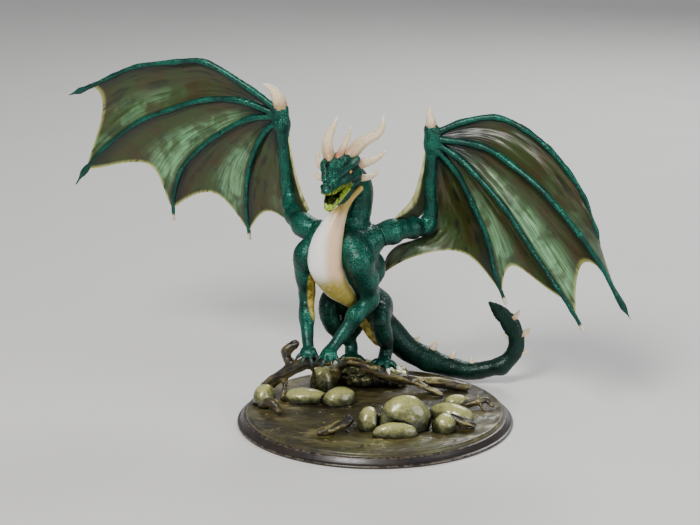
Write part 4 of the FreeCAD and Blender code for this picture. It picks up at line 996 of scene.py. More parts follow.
def joined_skin(name):
    """A piece's own field, the nearest neighbour's, and all of them blended together."""
    own, fillet = OWN[name], FILLETS.get(name, 2.2)

    def fields(p):
        mine = own(p)
        other = np.full(len(p), NOWHERE, np.float32)
        whole = mine
        for key in NEIGHBOURS[name]:
            if near_box(p, OWN[key]):
                theirs = OWN[key](p)
                other = np.minimum(other, theirs)
                width = fillet if key not in FILLETS else min(fillet, FILLETS[key])
                whole = union(whole, theirs, width)
        return mine, other, whole
    return fields


def scale_relief(p, size):
    """How high a scale stands, 0 in the grooves between scales to 1 on top."""
    first, second = cells(p, size)
    return ramp(second - first, 0.03, 0.42) * (0.75 + 0.25 * ramp(first, 0.7, 0.0))


RELIEF_BAND = 0.7
MUSCLE_HEIGHT = 0.16
OVERLAP = 1.6
SINK = 0.12


def scaled(whole, p, scales, waves):
    """A skin's values with scales and slower waves raised on it. Scales are their size and
    height, and waves are their size and height."""
    def rise(q, depth):
        lift = scales[1] * scale_relief(q, scales[0]) + waves[1] * fractal(q, waves[0], 2)
        return lift * ramp(np.abs(depth), RELIEF_BAND, RELIEF_BAND * 0.55)
    return roughened(whole, p, RELIEF_BAND, rise)


def own_share(whole, mine, other):
    """The part of a joined skin that is one piece's own. It sinks under its neighbour's."""
    side = mine - other
    return np.maximum(whole + SINK * np.maximum(side, 0), side - OVERLAP)


def skin_surface(name, voxel, scale_size, scale_height):
    """A body casting's mesh, with room cut for the wings, and the fields it was made from."""
    fields = joined_skin(name)

    def field(p):
        mine, other, whole = fields(p)
        whole = scaled(whole, p, (scale_size, scale_height), (4.5, MUSCLE_HEIGHT))
        for tool in CUTTERS:
            whole = np.maximum(whole, -tool(p))
        return own_share(whole, mine, other)
    return surface(field, OWN[name].box, voxel), fields


def vertex_normals(verts, faces):
    """Unit normals of a mesh of quads."""
    normals = np.zeros_like(verts)
    a, b, c, d = (verts[faces[:, i]] for i in (0, 1, 2, 3))
    face = np.cross(c - a, d - b)
    for i in range(4):
        np.add.at(normals, faces[:, i], face)
    return normals / (np.linalg.norm(normals, axis=1)[:, None] + 1e-9)


SKIN_REACH = 1.4
WING_REACH = 1.2


def openness(whole, verts, normals, reach):
    """How open the space above each point is, 1 when nothing stands near it."""
    return np.clip(whole(verts + normals * reach) / reach, 0, 1)


CHUNK = 20000


def in_chunks(function, points):
    """A function's values at many points, worked out on several threads."""
    with ThreadPoolExecutor(WORKERS) as pool:
        return np.concatenate(list(pool.map(function, np.array_split(points, 1 + len(points) // CHUNK))))


def mottle(p, size, octaves, seed=SEED):
    """Fractal noise about a half, for paint to follow."""
    return 0.5 + 0.5 * in_chunks(lambda q: fractal(q, size, octaves, seed), p)


def tan_mask(name, p):
    """Where the skin is painted tan: the flap of the inner thigh, the inner arm and the armpit."""
    if name == "left_hindleg":
        return ramp(THIGH_FLAP(p), 0.7, 0.2)
    if name == "right_foreleg":
        return ramp(ball((-21.6, 12.6, 45.0), (2.5, 5.2, 11.0))(p), 1.0, 0.0)
    if name == "torso":
        return ramp(ball((-22.0, 9.4, 54.0), (2.6, 3.0, 5.0))(p), 1.0, -0.2)
    return np.zeros(len(p), np.float32)


# Spots of painted highlight and heavy dry brush on each piece.
HIGHLIGHT_AND_DRYBRUSH_SPOTS = {
    "head": [head_ball(11.0, 0, 1.6, (6.4, 2.6, 1.6)), head_ball(3.0, 0, 3.6, (4.0, 5.6, 1.8))],
    "neck": [ball((-7.2, 12.0, 81.0), (2.2, 3.0, 6.0))],
    **{leg: [MUSCLES[leg][i] for i in (0, 1, 3)] for leg in ("left_foreleg", "right_foreleg")},
}


def highlight_and_drybrush_mask(name, p):
    """Where the painted highlight and the dry brush are heaviest: snout, brows, shoulders and the muscles of
    the arms.
    """
    nearest = np.full(len(p), 9.0, np.float32)
    for spot in HIGHLIGHT_AND_DRYBRUSH_SPOTS.get(name, []):
        nearest = np.minimum(nearest, spot(p))
    return np.maximum(ramp(nearest, 0.7, -0.3), 0.45 * ramp(value_noise(p, 5.0, SEED + 31), 0.1, 0.6))


def lime_mask(name, p):
    """The lime paint of the lips."""
    if name != "head":
        return np.zeros(len(p), np.float32)
    return ramp(lip_field(p), 0.5, 0.1)


def mouth_mask(name, p):
    """Where the inside of the mouth is coloured near black."""
    if name not in ("head", "lower_jaw"):
        return np.zeros(len(p), np.float32)
    local = (p - HEAD_ORIGIN) @ HEAD_AXES.T
    inside = ramp(np.abs(local[:, 1]), 2.6, 1.9) * ramp(local[:, 0], 16.0, 14.9)
    band = ramp(local[:, 2], -2.0, -2.6) * ramp(local[:, 2], -7.0, -6.2)
    return inside * band


BELLY = [(-5.4, 4.4, 85.4, 1.0, 1.0), (-8.6, 5.4, 81.8, 1.3, 1.2), (-11.6, 6.8, 77.4, 2.0, 1.8),
         (-14.4, 6.6, 73.0, 3.8, 3.2), (-17.2, 6.2, 65.5, 5.6, 4.8), (-18.0, 7.0, 57.0, 6.4, 5.6),
         (-14.6, 9.2, 49.0, 5.2, 5.0), (-10.2, 12.6, 43.4, 3.2, 3.6), (-7.6, 15.8, 38.8, 1.0, 1.4)]
BELLY_FIELD = limb(BELLY, LATERAL, 12)

# How much painted shade darkens each piece, and each piece's voxel, scale size and scale height.
PAINTED_SHADE_OF_PIECE = {"tail_base": 0.7, "tail_mid": 0.78, "tail_tip": 0.82, "left_hindleg": 0.45, "right_hindleg": 0.55}
SKIN_PIECES = {
    "torso": (0.26, 1.0, 0.14), "neck": (0.25, 0.95, 0.13), "head": (0.17, 0.75, 0.08),
    "tail_base": (0.26, 1.0, 0.15), "tail_mid": (0.24, 0.95, 0.14), "tail_tip": (0.22, 0.9, 0.12),
    "left_foreleg": (0.23, 0.85, 0.11), "right_foreleg": (0.23, 0.85, 0.11),
    "left_hindleg": (0.24, 0.9, 0.12), "right_hindleg": (0.24, 0.9, 0.12),
}


def make_skin_piece(name):
    """One of the body castings, with what its paint follows at each point."""
    voxel, scale_size, scale_height = SKIN_PIECES[name]
    (verts, faces), fields = skin_surface(name, voxel, scale_size, scale_height)
    normals = vertex_normals(verts, faces)
    attributes = {
        "relief": in_chunks(lambda q: scale_relief(q, scale_size), verts),
        "cavity": openness(lambda q: in_chunks(lambda r: fields(r)[2], q), verts, normals, SKIN_REACH),
        "tan": in_chunks(lambda q: tan_mask(name, q), verts),
        "lime": lime_mask(name, verts),
        "mouth": mouth_mask(name, verts),
        "highlight_and_drybrush": in_chunks(lambda q: highlight_and_drybrush_mask(name, q), verts),
        # Painted shade over the whole piece.
        "shade": np.full(len(verts), PAINTED_SHADE_OF_PIECE.get(name, 0.0)),
    }
    build_piece("dragon_" + name, verts, faces, attributes, SKIN, "figure", [name])


def make_jaw():
    """The lower jaw, with wrinkled lips."""
    grain = 1.3

    def field(p):
        jaw = jaw_field(p)
        return jaw - 0.16 * fractal(p, grain, 2) * ramp(np.abs(jaw), 0.8, 0.4)
    verts, faces = surface(field, jaw_field.box, 0.18)
    attributes = {"relief": mottle(verts, grain, 2), "mouth": mouth_mask("lower_jaw", verts)}
    build_piece("dragon_lower_jaw", verts, faces, attributes, LIME, "figure", ["lower_jaw"])


def make_belly():
    """The smooth swollen chest plate, pointed at its lower end."""
    waves = 3.4

    def field(p):
        return roughened(BELLY_FIELD(p), p, 0.8, lambda q, _: 0.1 * fractal(q, waves, 2))
    verts, faces = surface(field, BELLY_FIELD.box, 0.25)
    low = ramp(verts[:, 2], 55.0, 49.0)
    attributes = {
        "side": ramp((verts - np.array((-17.0, 6.5, 60.0), np.float32)) @ LATERAL, -0.4, 3.6),
        "low": low,
        "rim": ramp(torso_field(verts), 1.4, 0.3) * low,
        "relief": mottle(verts, waves, 2),
        "throat": ramp(verts[:, 2], 74.0, 78.0),
    }
    build_piece("dragon_belly_plate", verts, faces, attributes, BELLY_PAINT, "figure", ["belly_plate"])


# ------------------------------------------------------------------ horns, claws, spines


def horn_bump(along, around):
    """Shallow rings near the root and fine lengthwise grooves."""
    rings = 0.035 * np.sin(along * 60 + np.sin(around * 2)) * (1 - along)
    return 1 + rings + 0.04 * np.sin(around * 7 + along * 5) * (1 - 0.7 * along)


def make_tubes(name, horns, material, node, body="figure", sides=18):
    """All the horns, claws or spines of one CAD node."""
    verts, faces, share = joined([tube(stations, sides, horn_bump) for stations in horns])
    build_piece(name, verts, faces, {"share": share}, material, body, [node])


# Horns: x, y, z and radius from root to tip. They are drawn thicker than that by HORN_SWELL.
HORN_SWELL = 1.14
HORNS = {
    "left_crown_horn": [[(-10.4, 3.4, 94.8, 1.9), (-9.6, 4.4, 96.4, 2.1), (-7.0, 6.6, 99.4, 2.1),
                         (-3.6, 9.8, 101.6, 1.75), (0.6, 13.2, 103.2, 1.4), (2.5, 16.5, 105.6, 1.0),
                         (2.9, 18.6, 108.8, 0.4)]],
    "right_crown_horn": [[(-15.9, 2.9, 94.8, 1.8), (-16.4, 4.4, 96.8, 1.9), (-17.1, 6.8, 99.6, 1.8),
                          (-16.8, 9.8, 102.4, 1.5), (-15.2, 12.8, 105.8, 1.0), (-13.5, 15.0, 109.2, 0.35)]],
    "crest_horn": [[(-13.2, 1.6, 95.6, 1.1), (-12.9, 2.6, 97.4, 1.2), (-11.6, 5.6, 99.8, 1.1),
                    (-10.0, 8.8, 102.6, 0.8), (-8.8, 12.2, 106.2, 0.3)]],
    "temple_horns": [[(-8.4, 4.4, 93.2, 1.5), (-6.9, 5.8, 93.4, 1.6), (-3.6, 8.6, 93.8, 1.5),
                      (0.0, 11.8, 94.5, 1.1), (3.8, 15.0, 96.6, 0.4)],
                     [(-16.8, 3.6, 92.8, 1.1), (-18.4, 4.8, 92.8, 1.2), (-20.0, 7.4, 93.7, 1.0),
                      (-20.6, 9.6, 95.2, 0.8), (-20.5, 11.8, 97.2, 0.3)]],
    "cheek_horns": [[(-8.4, 3.8, 89.6, 1.2), (-7.0, 5.0, 89.2, 1.3), (-3.8, 8.0, 88.5, 1.1),
                     (-0.6, 11.2, 88.7, 0.8), (1.7, 13.5, 90.2, 0.3)],
                    [(-16.4, 3.2, 90.2, 1.1), (-18.0, 4.2, 89.6, 1.1), (-20.2, 5.8, 89.0, 0.9),
                     (-21.4, 7.6, 89.6, 0.6), (-21.1, 9.4, 90.8, 0.25)]],
}


CLAW_RADIUS = 0.8


def claw_stations(stations, offsets):
    """Hooked claws that start inside each toe tip and point down and out."""
    root = np.array(stations[-1][:3], np.float32)
    drop = np.array((0, 0, 1), np.float32)
    claws = []
    for offset in offsets:
        way = unit(offset)
        nail = root + np.asarray(offset, np.float32) + way * 0.15
        claws.append([(*nail, CLAW_RADIUS), (*(nail + way * 0.9 + drop * 0.12), CLAW_RADIUS * 0.92),
                      (*(nail + way * 1.9 - drop * 0.2), CLAW_RADIUS * 0.62),
                      (*(nail + way * 2.7 - drop * 1.0), 0.12)])
    return claws


# Spines: the limb and the station they stand on, the way they point, and their size.
SPINES = ((NECK, 2, (0.45, 0.85, 0.1), 1.0), (NECK, 1, (0.42, 0.88, 0.1), 1.1),
          (TRUNK, 4, (0.42, 0.86, 0.3), 1.2), (TRUNK, 3, (0.36, 0.62, 0.7), 1.2),
          (TRUNK, 2, (0.32, 0.55, 0.77), 1.1), (TRUNK, 1, (0.4, 0.6, 0.7), 1.0))
TAIL_SPIKES = ((TAIL_BASE, 2, (0.55, 0, 0.83), 1.0), (TAIL_BASE, 3, (0.4, 0, 0.92), 1.7),
               (TAIL_MID, 1, (0.3, 0.05, 0.95), 1.4), (TAIL_MID, 2, (-0.3, 0.1, 0.95), 1.2),
               (TAIL_TIP, 1, (0.98, 0, 0.15), 1.1), (TAIL_TIP, 2, (0.85, 0, 0.52), 1.3),
               (TAIL_TIP, 3, (0.7, 0, 0.71), 1.2), (TAIL_TIP, 2, (-0.9, 0, 0.2), 0.9))
SPINE_HEIGHT = 2.7
SPINE_RADIUS = 0.95


def limb_way(stations, index):
    """The way a limb runs at one of its stations."""
    before = max(index, 1) - 1
    ends = np.array([station[:3] for station in stations[before:before + 2]], np.float32)
    return ends[1] - ends[0]


def spine_stations(rows):
    """Hooked spines on the outside of a limb, each leaning back along it."""
    spines = []
    for stations, index, out, size in rows:
        station = np.array(stations[index], np.float32)
        way, back = unit(out), unit(limb_way(stations, index))
        foot = station[:3] + way * (station[4] - 1.2)
        rise = SPINE_HEIGHT * size + 1.0
        radius = SPINE_RADIUS * size
        spines.append([(*foot, radius * 1.15), (*(foot + way * rise * 0.45), radius * 0.85),
                       (*(foot + way * rise * 0.75 + back * 0.35), radius * 0.5),
                       (*(foot + way * rise + back * 0.9), 0.1)])
    return spines


# ---------------------------------------------------------------------------------- wings

PANEL_START = 0.02
BILLOW = 3.2
BILLOW_SHARE = 0.16
FINGER_ROOT = 1.2
FINGER_TIP = 0.6


def finger_radius(share):
    """A finger bone's radius at a share of its length."""
    return FINGER_ROOT + (FINGER_TIP - FINGER_ROOT) * np.minimum(1, share) ** 1.2


CLAWED = 2
KNUCKLE_RISE = 0.2
CLAW_SWELL = 0.55
FINGER_SPAN = 8
EDGE_SPAN = 10
WEB_SPAN = 12


def finger_path(points, clawed):
    """A finger's line and its radius, with a knuckle where the bone bends. A clawed finger
    swells near its end and then tapers to a point."""
    line = smooth_path(points, FINGER_SPAN)
    share = shares_along(line)
    radius = finger_radius(share)
    for bend in shares_along(np.asarray(points, np.float32))[1:-1]:
        radius = radius + KNUCKLE_RISE * np.exp(-((share - bend) / 0.018) ** 2)
    if clawed:
        radius = radius + CLAW_SWELL * np.exp(-((share - 0.935) / 0.022) ** 2)
        radius = radius * np.clip((1 - share) / 0.055, 0.16, 1) ** 0.7
    return line, radius


def wing_bone_field(points, clawed):
    """One finger bone, a little thicker than it is wide."""
    line, radius = finger_path(points, clawed)
    rows = [(*q, r, r * 1.08) for q, r in zip(line[::2], radius[::2])]
    return limb(rows, DEPTH, 2)


SEAT_GAP = 0.14
SEAT_REACH = 14
WING_BONES = {"arm": (0.24, 0.85, 0.1), "fingers": (0.22, 0.8, 0.06)}


def make_wing_bones(side, wing):
    """The arm casting and the finger bones, as two pieces that share one skin."""
    seat, pull, _ = seat_axes(wing)
    arm_limb = limb(wing["arm"], DEPTH)
    elbow = ball(wing["arm"][3][:3], (3.4, 3.6, 3.6))
    wrist = ball(wing["arm"][7][:3], (2.9, 3.0, 3.2))
    root = seat_limb(wing, ((-2.0, 4.0), (1.5, 4.3), (5.0, 3.9)))
    bulges = merged(0.3, *[ball(centre, radii) for centre, radii in wing["bulges"]])
    bones = [wing_bone_field(points, i < CLAWED) for i, points in enumerate(wing["fingers"])]
    own = {"arm": merged(0.6, merged(1.4, arm_limb, elbow, wrist, root), bulges),
           "fingers": merged(0.5, *bones)}
    for key, other_key in (("arm", "fingers"), ("fingers", "arm")):
        voxel, size, height = WING_BONES[key]

        def whole_at(q, mine_at=own[key], other_at=own[other_key]):
            mine = mine_at(q)
            theirs = other_at(q) if near_box(q, other_at) else np.full(len(q), NOWHERE, np.float32)
            return mine, theirs, union(mine, theirs, 1.4)

        def field(q, whole_at=whole_at, size=size, height=height):
            mine, theirs, whole = whole_at(q)
            kept = own_share(scaled(whole, q, (size, height), (2.4, 0.08)), mine, theirs)
            along, off = about_axis(q, seat, pull)
            return np.maximum(kept, -np.maximum(along - SEAT_GAP, off - SEAT_REACH))
        verts, faces = surface(field, own[key].box, voxel)
        normals = vertex_normals(verts, faces)
        ends = [np.linalg.norm(verts - np.asarray(points[-1], np.float32), axis=1)
                for points in wing["fingers"][CLAWED:]]
        attributes = {
            "relief": in_chunks(lambda q: scale_relief(q, size), verts),
            "cavity": openness(lambda q: in_chunks(lambda r: whole_at(r)[2], q), verts, normals, WING_REACH),
            "bone": ramp(np.min(ends, axis=0), 2.6, 1.6),
            # Painted highlight and dry brush on the wing bones, spread at random.
            "highlight_and_drybrush": 0.8 * ramp(in_chunks(lambda q: value_noise(q, 4.0, SEED + 33), verts), 0.0, 0.6),
        }
        build_piece(f"{side}_wing_{key}_skin", verts, faces, attributes, SKIN, side + "_wing",
                    [f"{side}_wing_{key}"])


def skin_between(front, back, probe):
    """A closed skin of two grids of points: both faces and a rim all round. Its outward side
    is found from the corner of the front grid at the probe's row."""
    count = front.shape[0] * front.shape[1]
    grid = np.arange(count).reshape(front.shape[:2])
    quads = np.stack([grid[:-1, :-1], grid[1:, :-1], grid[1:, 1:], grid[:-1, 1:]], -1).reshape(-1, 4)
    border = np.concatenate([grid[:, 0], grid[-1, 1:], grid[-2::-1, -1], grid[0, -2:0:-1]])
    after = np.roll(border, -1)
    rim = np.stack([border, border + count, after + count, after], -1)
    corner = front[0, probe]
    if np.cross(front[1, probe] - corner, front[0, probe + 1] - corner) @ DEPTH > 0:
        faces = np.vstack([quads[:, ::-1], quads + count, rim])
    else:
        faces = np.vstack([quads, quads[:, ::-1] + count, rim[:, ::-1]])
    return np.vstack([front.reshape(-1, 3), back.reshape(-1, 3)]), faces


MEMBRANE_STEPS = (40, 72)
WEB_STEPS = (14, 60)
MEMBRANE_HALF = 0.34
BONE_SIDE_EXTRA = 0.3
EDGE_THINNING = 0.14
WRINKLE_HEIGHT = 0.22
BONE_INSET = 0.55


def membrane_patch(first, second, panel, insets, pearl, seed):
    """A thin skin between two lines that meet at the wrist. It starts inside each bone by the
    insets, which are shares of the bone's radius."""
    uu, vv = np.meshgrid(*[np.linspace(0, 1, steps) for steps in MEMBRANE_STEPS], indexing="ij")
    arch = 4 * uu * (1 - uu)
    scallop, deepest, first_reach, second_reach = panel
    leaned = uu ** (math.log(0.5) / math.log(deepest))
    reach = (1 - uu) * first_reach + uu * second_reach - scallop * 4 * leaned * (1 - leaned)
    share = PANEL_START + (reach - PANEL_START) * vv
    near, far = at_shares(first, share), at_shares(second, share)
    span = np.linalg.norm(far - near, axis=2, keepdims=True)
    cross = (far - near) / np.maximum(span, 1e-6)
    near = near + cross * (finger_radius(share) * insets[0])[..., None]
    far = far - cross * (finger_radius(share) * insets[1])[..., None]
    middle = near * (1 - uu[..., None]) + far * uu[..., None]
    droop = np.minimum(BILLOW, BILLOW_SHARE * span[..., 0]) * arch
    ridges = np.sin(uu * 17 + 2.4 * np.sin(vv * 5 + seed)) * np.sin(vv * 3.1)
    wrinkle = WRINKLE_HEIGHT * ridges * np.minimum(arch * 2.5, 1) * np.minimum(span[..., 0] / 12, 1)
    spread = np.stack([uu.ravel() * 14 + seed * 5, vv.ravel() * 9, np.full(uu.size, seed)], 1)
    fine = fractal(spread.astype(np.float32), 1.0, 3, SEED + seed).reshape(uu.shape) * np.minimum(arch * 3, 1)
    thick = MEMBRANE_HALF + BONE_SIDE_EXTRA * (1 - np.minimum(arch * 2.2, 1)) - EDGE_THINNING * vv
    sheet = middle + DEPTH * (droop + wrinkle + 0.14 * fine)[..., None]
    verts, faces = skin_between(sheet - DEPTH * thick[..., None], sheet + DEPTH * thick[..., None], 1)
    relief = 0.5 + 0.5 * (ridges * 0.5 + fine)
    values = np.stack([uu.ravel(), vv.ravel(), relief.ravel(), np.full(uu.size, pearl)], 1)
    return verts, faces, np.vstack([values, values])


def make_membranes(side, wing):
    """The skin between the fingers and behind the arm, a patch for each panel."""
    lines = [smooth_path(points, FINGER_SPAN) for points in wing["fingers"]]
    lines.append(smooth_path(wing["inner_edge"], EDGE_SPAN))
    parts = []
    for i, panel in enumerate(wing["panels"]):
        insets = (BONE_INSET, BONE_INSET if i + 1 < len(wing["fingers"]) else 0.0)
        parts.append(membrane_patch(lines[i], lines[i + 1], panel, insets, wing["pearls"][i], i + 1))
    verts, faces, values = joined(parts)
    attributes = dict(zip(("across", "along", "relief", "pearl"), values.T))
    build_piece(side + "_wing_membrane_skin", verts, faces, attributes, MEMBRANE, side + "_wing",
                [side + "_wing_membrane"])


def make_front_web(side, wing):
    """The narrow skin in front of the upper arm."""
    steps, rows = WEB_STEPS
    v = np.linspace(0, 1, rows)
    edge, arm = (at_shares(smooth_path(wing[key], WEB_SPAN), v) for key in ("free_edge", "web_arm"))
    uu, vv = np.meshgrid(np.linspace(0, 1, steps), v, indexing="ij")
    sheet = edge[None] * (1 - uu[..., None]) + arm[None] * uu[..., None]
    wave = 0.25 * np.sin(vv * 31 + uu * 4) * uu * (1 - uu) * 4
    sheet = sheet + DEPTH * wave[..., None]
    thick = 0.3 + 0.12 * np.sin(uu * math.pi)
    verts, faces = skin_between(sheet - DEPTH * thick[..., None], sheet + DEPTH * thick[..., None], 5)
    across = np.concatenate([uu.ravel(), uu.ravel()])
    build_piece(side + "_wing_web_skin", verts, faces, {"across": across}, PALE_WEB, side + "_wing",
                [side + "_wing_front_web"])


# --------------------------------------------------------------------------------- scenery

GROUND_TOP = 4.7
SKIRT_BOTTOM = GROUND_TOP - 0.3
# Stones: x, y, half sizes along, across and up, and their turn in degrees.
BOULDERS = {
    "boulder_front": (10.0, -21.5, 9.5, 6.0, 9.8, 6),
    "boulder_front_slab": (-2.4, -20.6, 4.2, 5.2, 6.2, -8),
    "boulder_front_foot": (6.4, -30.4, 8.2, 2.9, 4.2, 4),
    "boulder_round": (23.9, -23.6, 4.4, 4.4, 4.8, 20),
    "boulder_long": (27.2, -11.2, 9.0, 4.6, 4.4, -28),
    "boulder_small": (29.5, 3.0, 4.6, 3.2, 3.4, 10),
    "boulder_left": (-40.4, 7.0, 4.2, 5.2, 5.4, -20),
    "boulder_under_perch": (-19.4, 22.4, 4.8, 4.4, 7.2, 15),
    "boulder_ridge": (-25.6, 8.2, 9.2, 4.4, 3.9, -4),
    "boulder_ridge_end": (-12.8, 5.6, 6.6, 4.6, 5.0, 24),
}
LIFTED = 0.242
FLATS = 7
DIMPLES = 0.05
STONE_BAND = 1.6
BARK_BAND = 1.4


def boulder_field(name):
    """A water-worn stone: an ellipsoid with faint flats worn on it and a dimpled skin."""
    x, y, long, wide, tall, turn = BOULDERS[name]
    c, s = math.cos(math.radians(turn)), math.sin(math.radians(turn))
    axes = np.array(((c, s, 0), (-s, c, 0), (0, 0, 1)))
    centre = np.array((x, y, GROUND_TOP + LIFTED * tall), np.float32)
    stone = ball(centre, (long, wide, tall), axes)
    draws = np.random.default_rng(SEED + len(name) * 7 + int(abs(x) * 10))
    flats = []
    for _ in range(FLATS):
        way = unit(draws.normal(size=3) * (1, 1, 0.8) + (0, 0, 0.25))
        local = axes @ way
        support = np.linalg.norm(local * (long, wide, tall))
        flats.append((way, support * draws.uniform(0.97, 1.03)))

    def skin(q, _):
        swells = DIMPLES * min(long, wide) * fractal(q, 5.5, 3, SEED + 3)
        return swells + DIMPLES * fractal(q, 1.1, 2, SEED + 5)

    def field(p):
        out = stone(p)
        for way, distance in flats:
            out = -union(-out, -((p - centre) @ way - distance), 1.1)
        out = roughened(out, p, STONE_BAND, skin)
        return np.maximum(out, SKIRT_BOTTOM - p[:, 2])
    field.box = stone.box
    return field


ROCK_REACH = 1.6


def rock_attributes(field, verts, faces, others=()):
    """How open the space over each point is, and a mottle for the paint."""
    lift = verts + vertex_normals(verts, faces) * ROCK_REACH
    floor_gap = (lift[:, 2] - GROUND_TOP) / ROCK_REACH
    cavity = np.clip(floor_gap + 0.3, 0, 1)
    for near in (field, *others):
        cavity = np.minimum(cavity, np.clip(near(lift) / ROCK_REACH, 0, 1))
    return {"cavity": cavity, "relief": mottle(verts, 3.0, 3, SEED + 9)}


def make_boulders():
    """The loose stones, each a piece of its own."""
    fields = {name: boulder_field(name) for name in BOULDERS}
    for name, field in fields.items():
        verts, faces = surface(field, field.box, 0.3)
        others = [other for key, other in fields.items() if key != name]
        build_piece("stone_" + name, verts, faces, rock_attributes(field, verts, faces, others), ROCK,
                    "figure", [name])


# Roots: the stations of the trunk and then those of each branch, with a radius where round.
ROOTS = {
    "perch_root": (
        [(-41.4, 15.8, 5.6, 2.4), (-38.4, 13.4, 9.6, 2.3), (-34.2, 11.0, 13.6, 2.4),
         (-29.8, 9.0, 17.0, 2.5), (-25.4, 7.0, 19.4, 2.4), (-21.0, 5.6, 20.6, 2.1),
         (-16.8, 5.0, 20.4, 1.6)],
        [(-29.6, 9.4, 17.4, 2.0), (-32.0, 10.2, 20.2, 1.9), (-32.0, 11.0, 23.4, 1.9),
         (-29.2, 11.6, 25.6, 1.6)],
        [(-33.6, 10.8, 13.8, 1.2), (-33.0, 8.0, 10.4, 1.0), (-33.6, 6.4, 6.4, 1.2)],
        [(-24.0, 6.8, 19.4, 1.1), (-22.4, 8.0, 16.0, 0.9), (-22.6, 9.6, 12.4, 0.7)],
        [(-27.4, 7.8, 18.8, 1.1), (-25.6, 5.6, 21.4, 0.9), (-23.4, 4.6, 22.6, 0.5)]),
    "root_arch": (
        [(-15.6, 23.4, 7.6, 1.9), (-12.8, 20.8, 13.4, 1.8), (-8.4, 18.6, 16.2, 1.7),
         (-1.6, 17.6, 14.2, 1.6), (6.0, 17.8, 10.8, 1.7), (15.0, 19.2, 8.8, 1.8),
         (25.0, 21.0, 7.2, 2.0), (34.0, 20.4, 6.0, 1.6)],
        [(14.0, 19.0, 9.0, 1.2), (19.0, 15.4, 7.4, 1.0), (24.6, 12.6, 5.4, 0.8)]),
    "left_root_knot": (
        [(-40.8, 0.2, 5.4, 1.9), (-38.6, -2.2, 7.6, 1.9), (-36.4, -4.8, 7.8, 1.7),
         (-34.6, -7.4, 6.0, 1.3)],),
    "front_snag": (
        [(-19.4, -29.4, 5.9, 1.5, 1.2), (-16.2, -28.2, 6.5, 1.9, 1.6), (-12.4, -26.0, 7.2, 2.1, 1.9),
         (-9.8, -22.8, 8.2, 1.9, 2.0)],
        [(-16.2, -28.2, 6.5, 1.0), (-17.4, -25.6, 6.6, 0.8), (-18.6, -23.6, 5.4, 0.6)]),
    "right_twig": (
        [(32.6, -1.8, 6.1, 1.1, 1.1), (36.2, -1.2, 7.2, 1.3, 1.2), (40.2, 0.4, 7.6, 1.1, 1.1),
         (42.6, -1.6, 6.2, 0.8, 0.8)],
        [(36.2, -1.2, 7.2, 0.8), (37.6, -3.4, 7.4, 0.6), (39.4, -5.0, 5.8, 0.5)]),
    "right_root_flap": (
        [(27.2, -20.6, 8.2, 1.0, 1.5), (30.8, -21.0, 7.0, 2.2, 1.6), (34.6, -21.4, 5.8, 1.6, 0.9)],),
}


def make_root(name):
    """A gnarled root: knots and long fibres that follow it."""
    stations, *branches = ROOTS[name]
    core = merged(1.0, limb(stations, DEPTH), *[limb(branch, DEPTH, 3) for branch in branches])
    way = unit(np.array(stations[-1][:3]) - np.array(stations[0][:3]))

    def bark(p):
        squeezed = p - ((p @ way) * 0.72)[:, None] * way
        return fractal(squeezed, 1.5, 3, SEED + 11)

    def gnarls(q, _):
        return 0.3 * bark(q) + 0.3 * fractal(q, 4.0, 2, SEED + 13)

    def field(p):
        return np.maximum(roughened(core(p), p, BARK_BAND, gnarls), SKIRT_BOTTOM - p[:, 2])
    verts, faces = surface(field, core.box, 0.24)
    attributes = rock_attributes(field, verts, faces)
    attributes["relief"] = 0.5 + 0.5 * in_chunks(bark, verts)
    build_piece("bark_" + name, verts, faces, attributes, ROOT, "figure", [name])


LEDGE = [(-15.6, 33.6, 8.2, 4.6, 3.2), (-8.6, 30.6, 8.8, 7.8, 4.6), (1.0, 29.0, 8.6, 8.0, 4.4),
         (9.6, 28.4, 7.8, 5.0, 3.2)]


def make_ledge():
    """The rough stone shelf under the hind feet."""
    core = merged(1.5, limb(LEDGE, DEPTH), ball((-4.0, 24.6, 7.0), (6.0, 2.8, 3.6)),
                  ball((7.0, 24.8, 6.6), (5.0, 2.6, 3.0)))

    def facets(q, _):
        first, second = cells(q, 4.6, SEED + 2)
        return 0.5 * ramp(second - first, 0.0, 0.3) - 0.35 + 0.25 * fractal(q, 2.4, 3, SEED + 4)

    def field(p):
        return np.maximum(roughened(core(p), p, 2.0, facets), SKIRT_BOTTOM - p[:, 2])
    verts, faces = surface(field, core.box, 0.3)
    build_piece("stone_rear_ledge", verts, faces, rock_attributes(field, verts, faces), ROCK,
                "figure", ["rear_ledge"])


GROUND_RADIUS = 46.8
PLINTH_HEIGHT = 3.2
SECTORS = 360


def turned(radii, heights):
    """Points of a profile turned about the vertical axis, ring by ring."""
    rr, tt = np.meshgrid(radii, np.linspace(0, 2 * math.pi, SECTORS, endpoint=False), indexing="ij")
    zz = np.repeat(heights[:, None], SECTORS, 1)
    return np.stack([rr * np.cos(tt), rr * np.sin(tt), zz], -1).reshape(-1, 3)


def ground_height(p):
    """Mud pressed into low waves, and the small stones that stand on it here and there."""
    flat = np.stack([p[:, 0] * 0.55, p[:, 1], np.zeros(len(p))], 1).astype(np.float32)
    waves = 0.28 * fractal(flat, 6.0, 3, SEED + 21) + 0.1 * fractal(flat, 1.4, 2, SEED + 22)
    spots = np.stack([p[:, 0] * 0.8, p[:, 1], np.zeros(len(p))], 1).astype(np.float32)
    first, _ = cells(spots, 2.2, SEED + 23)
    chosen = ramp(value_noise(flat, 5.0, SEED + 24), 0.1, 0.5)
    return waves, 0.5 * ramp(first, 0.42, 0.12) * chosen


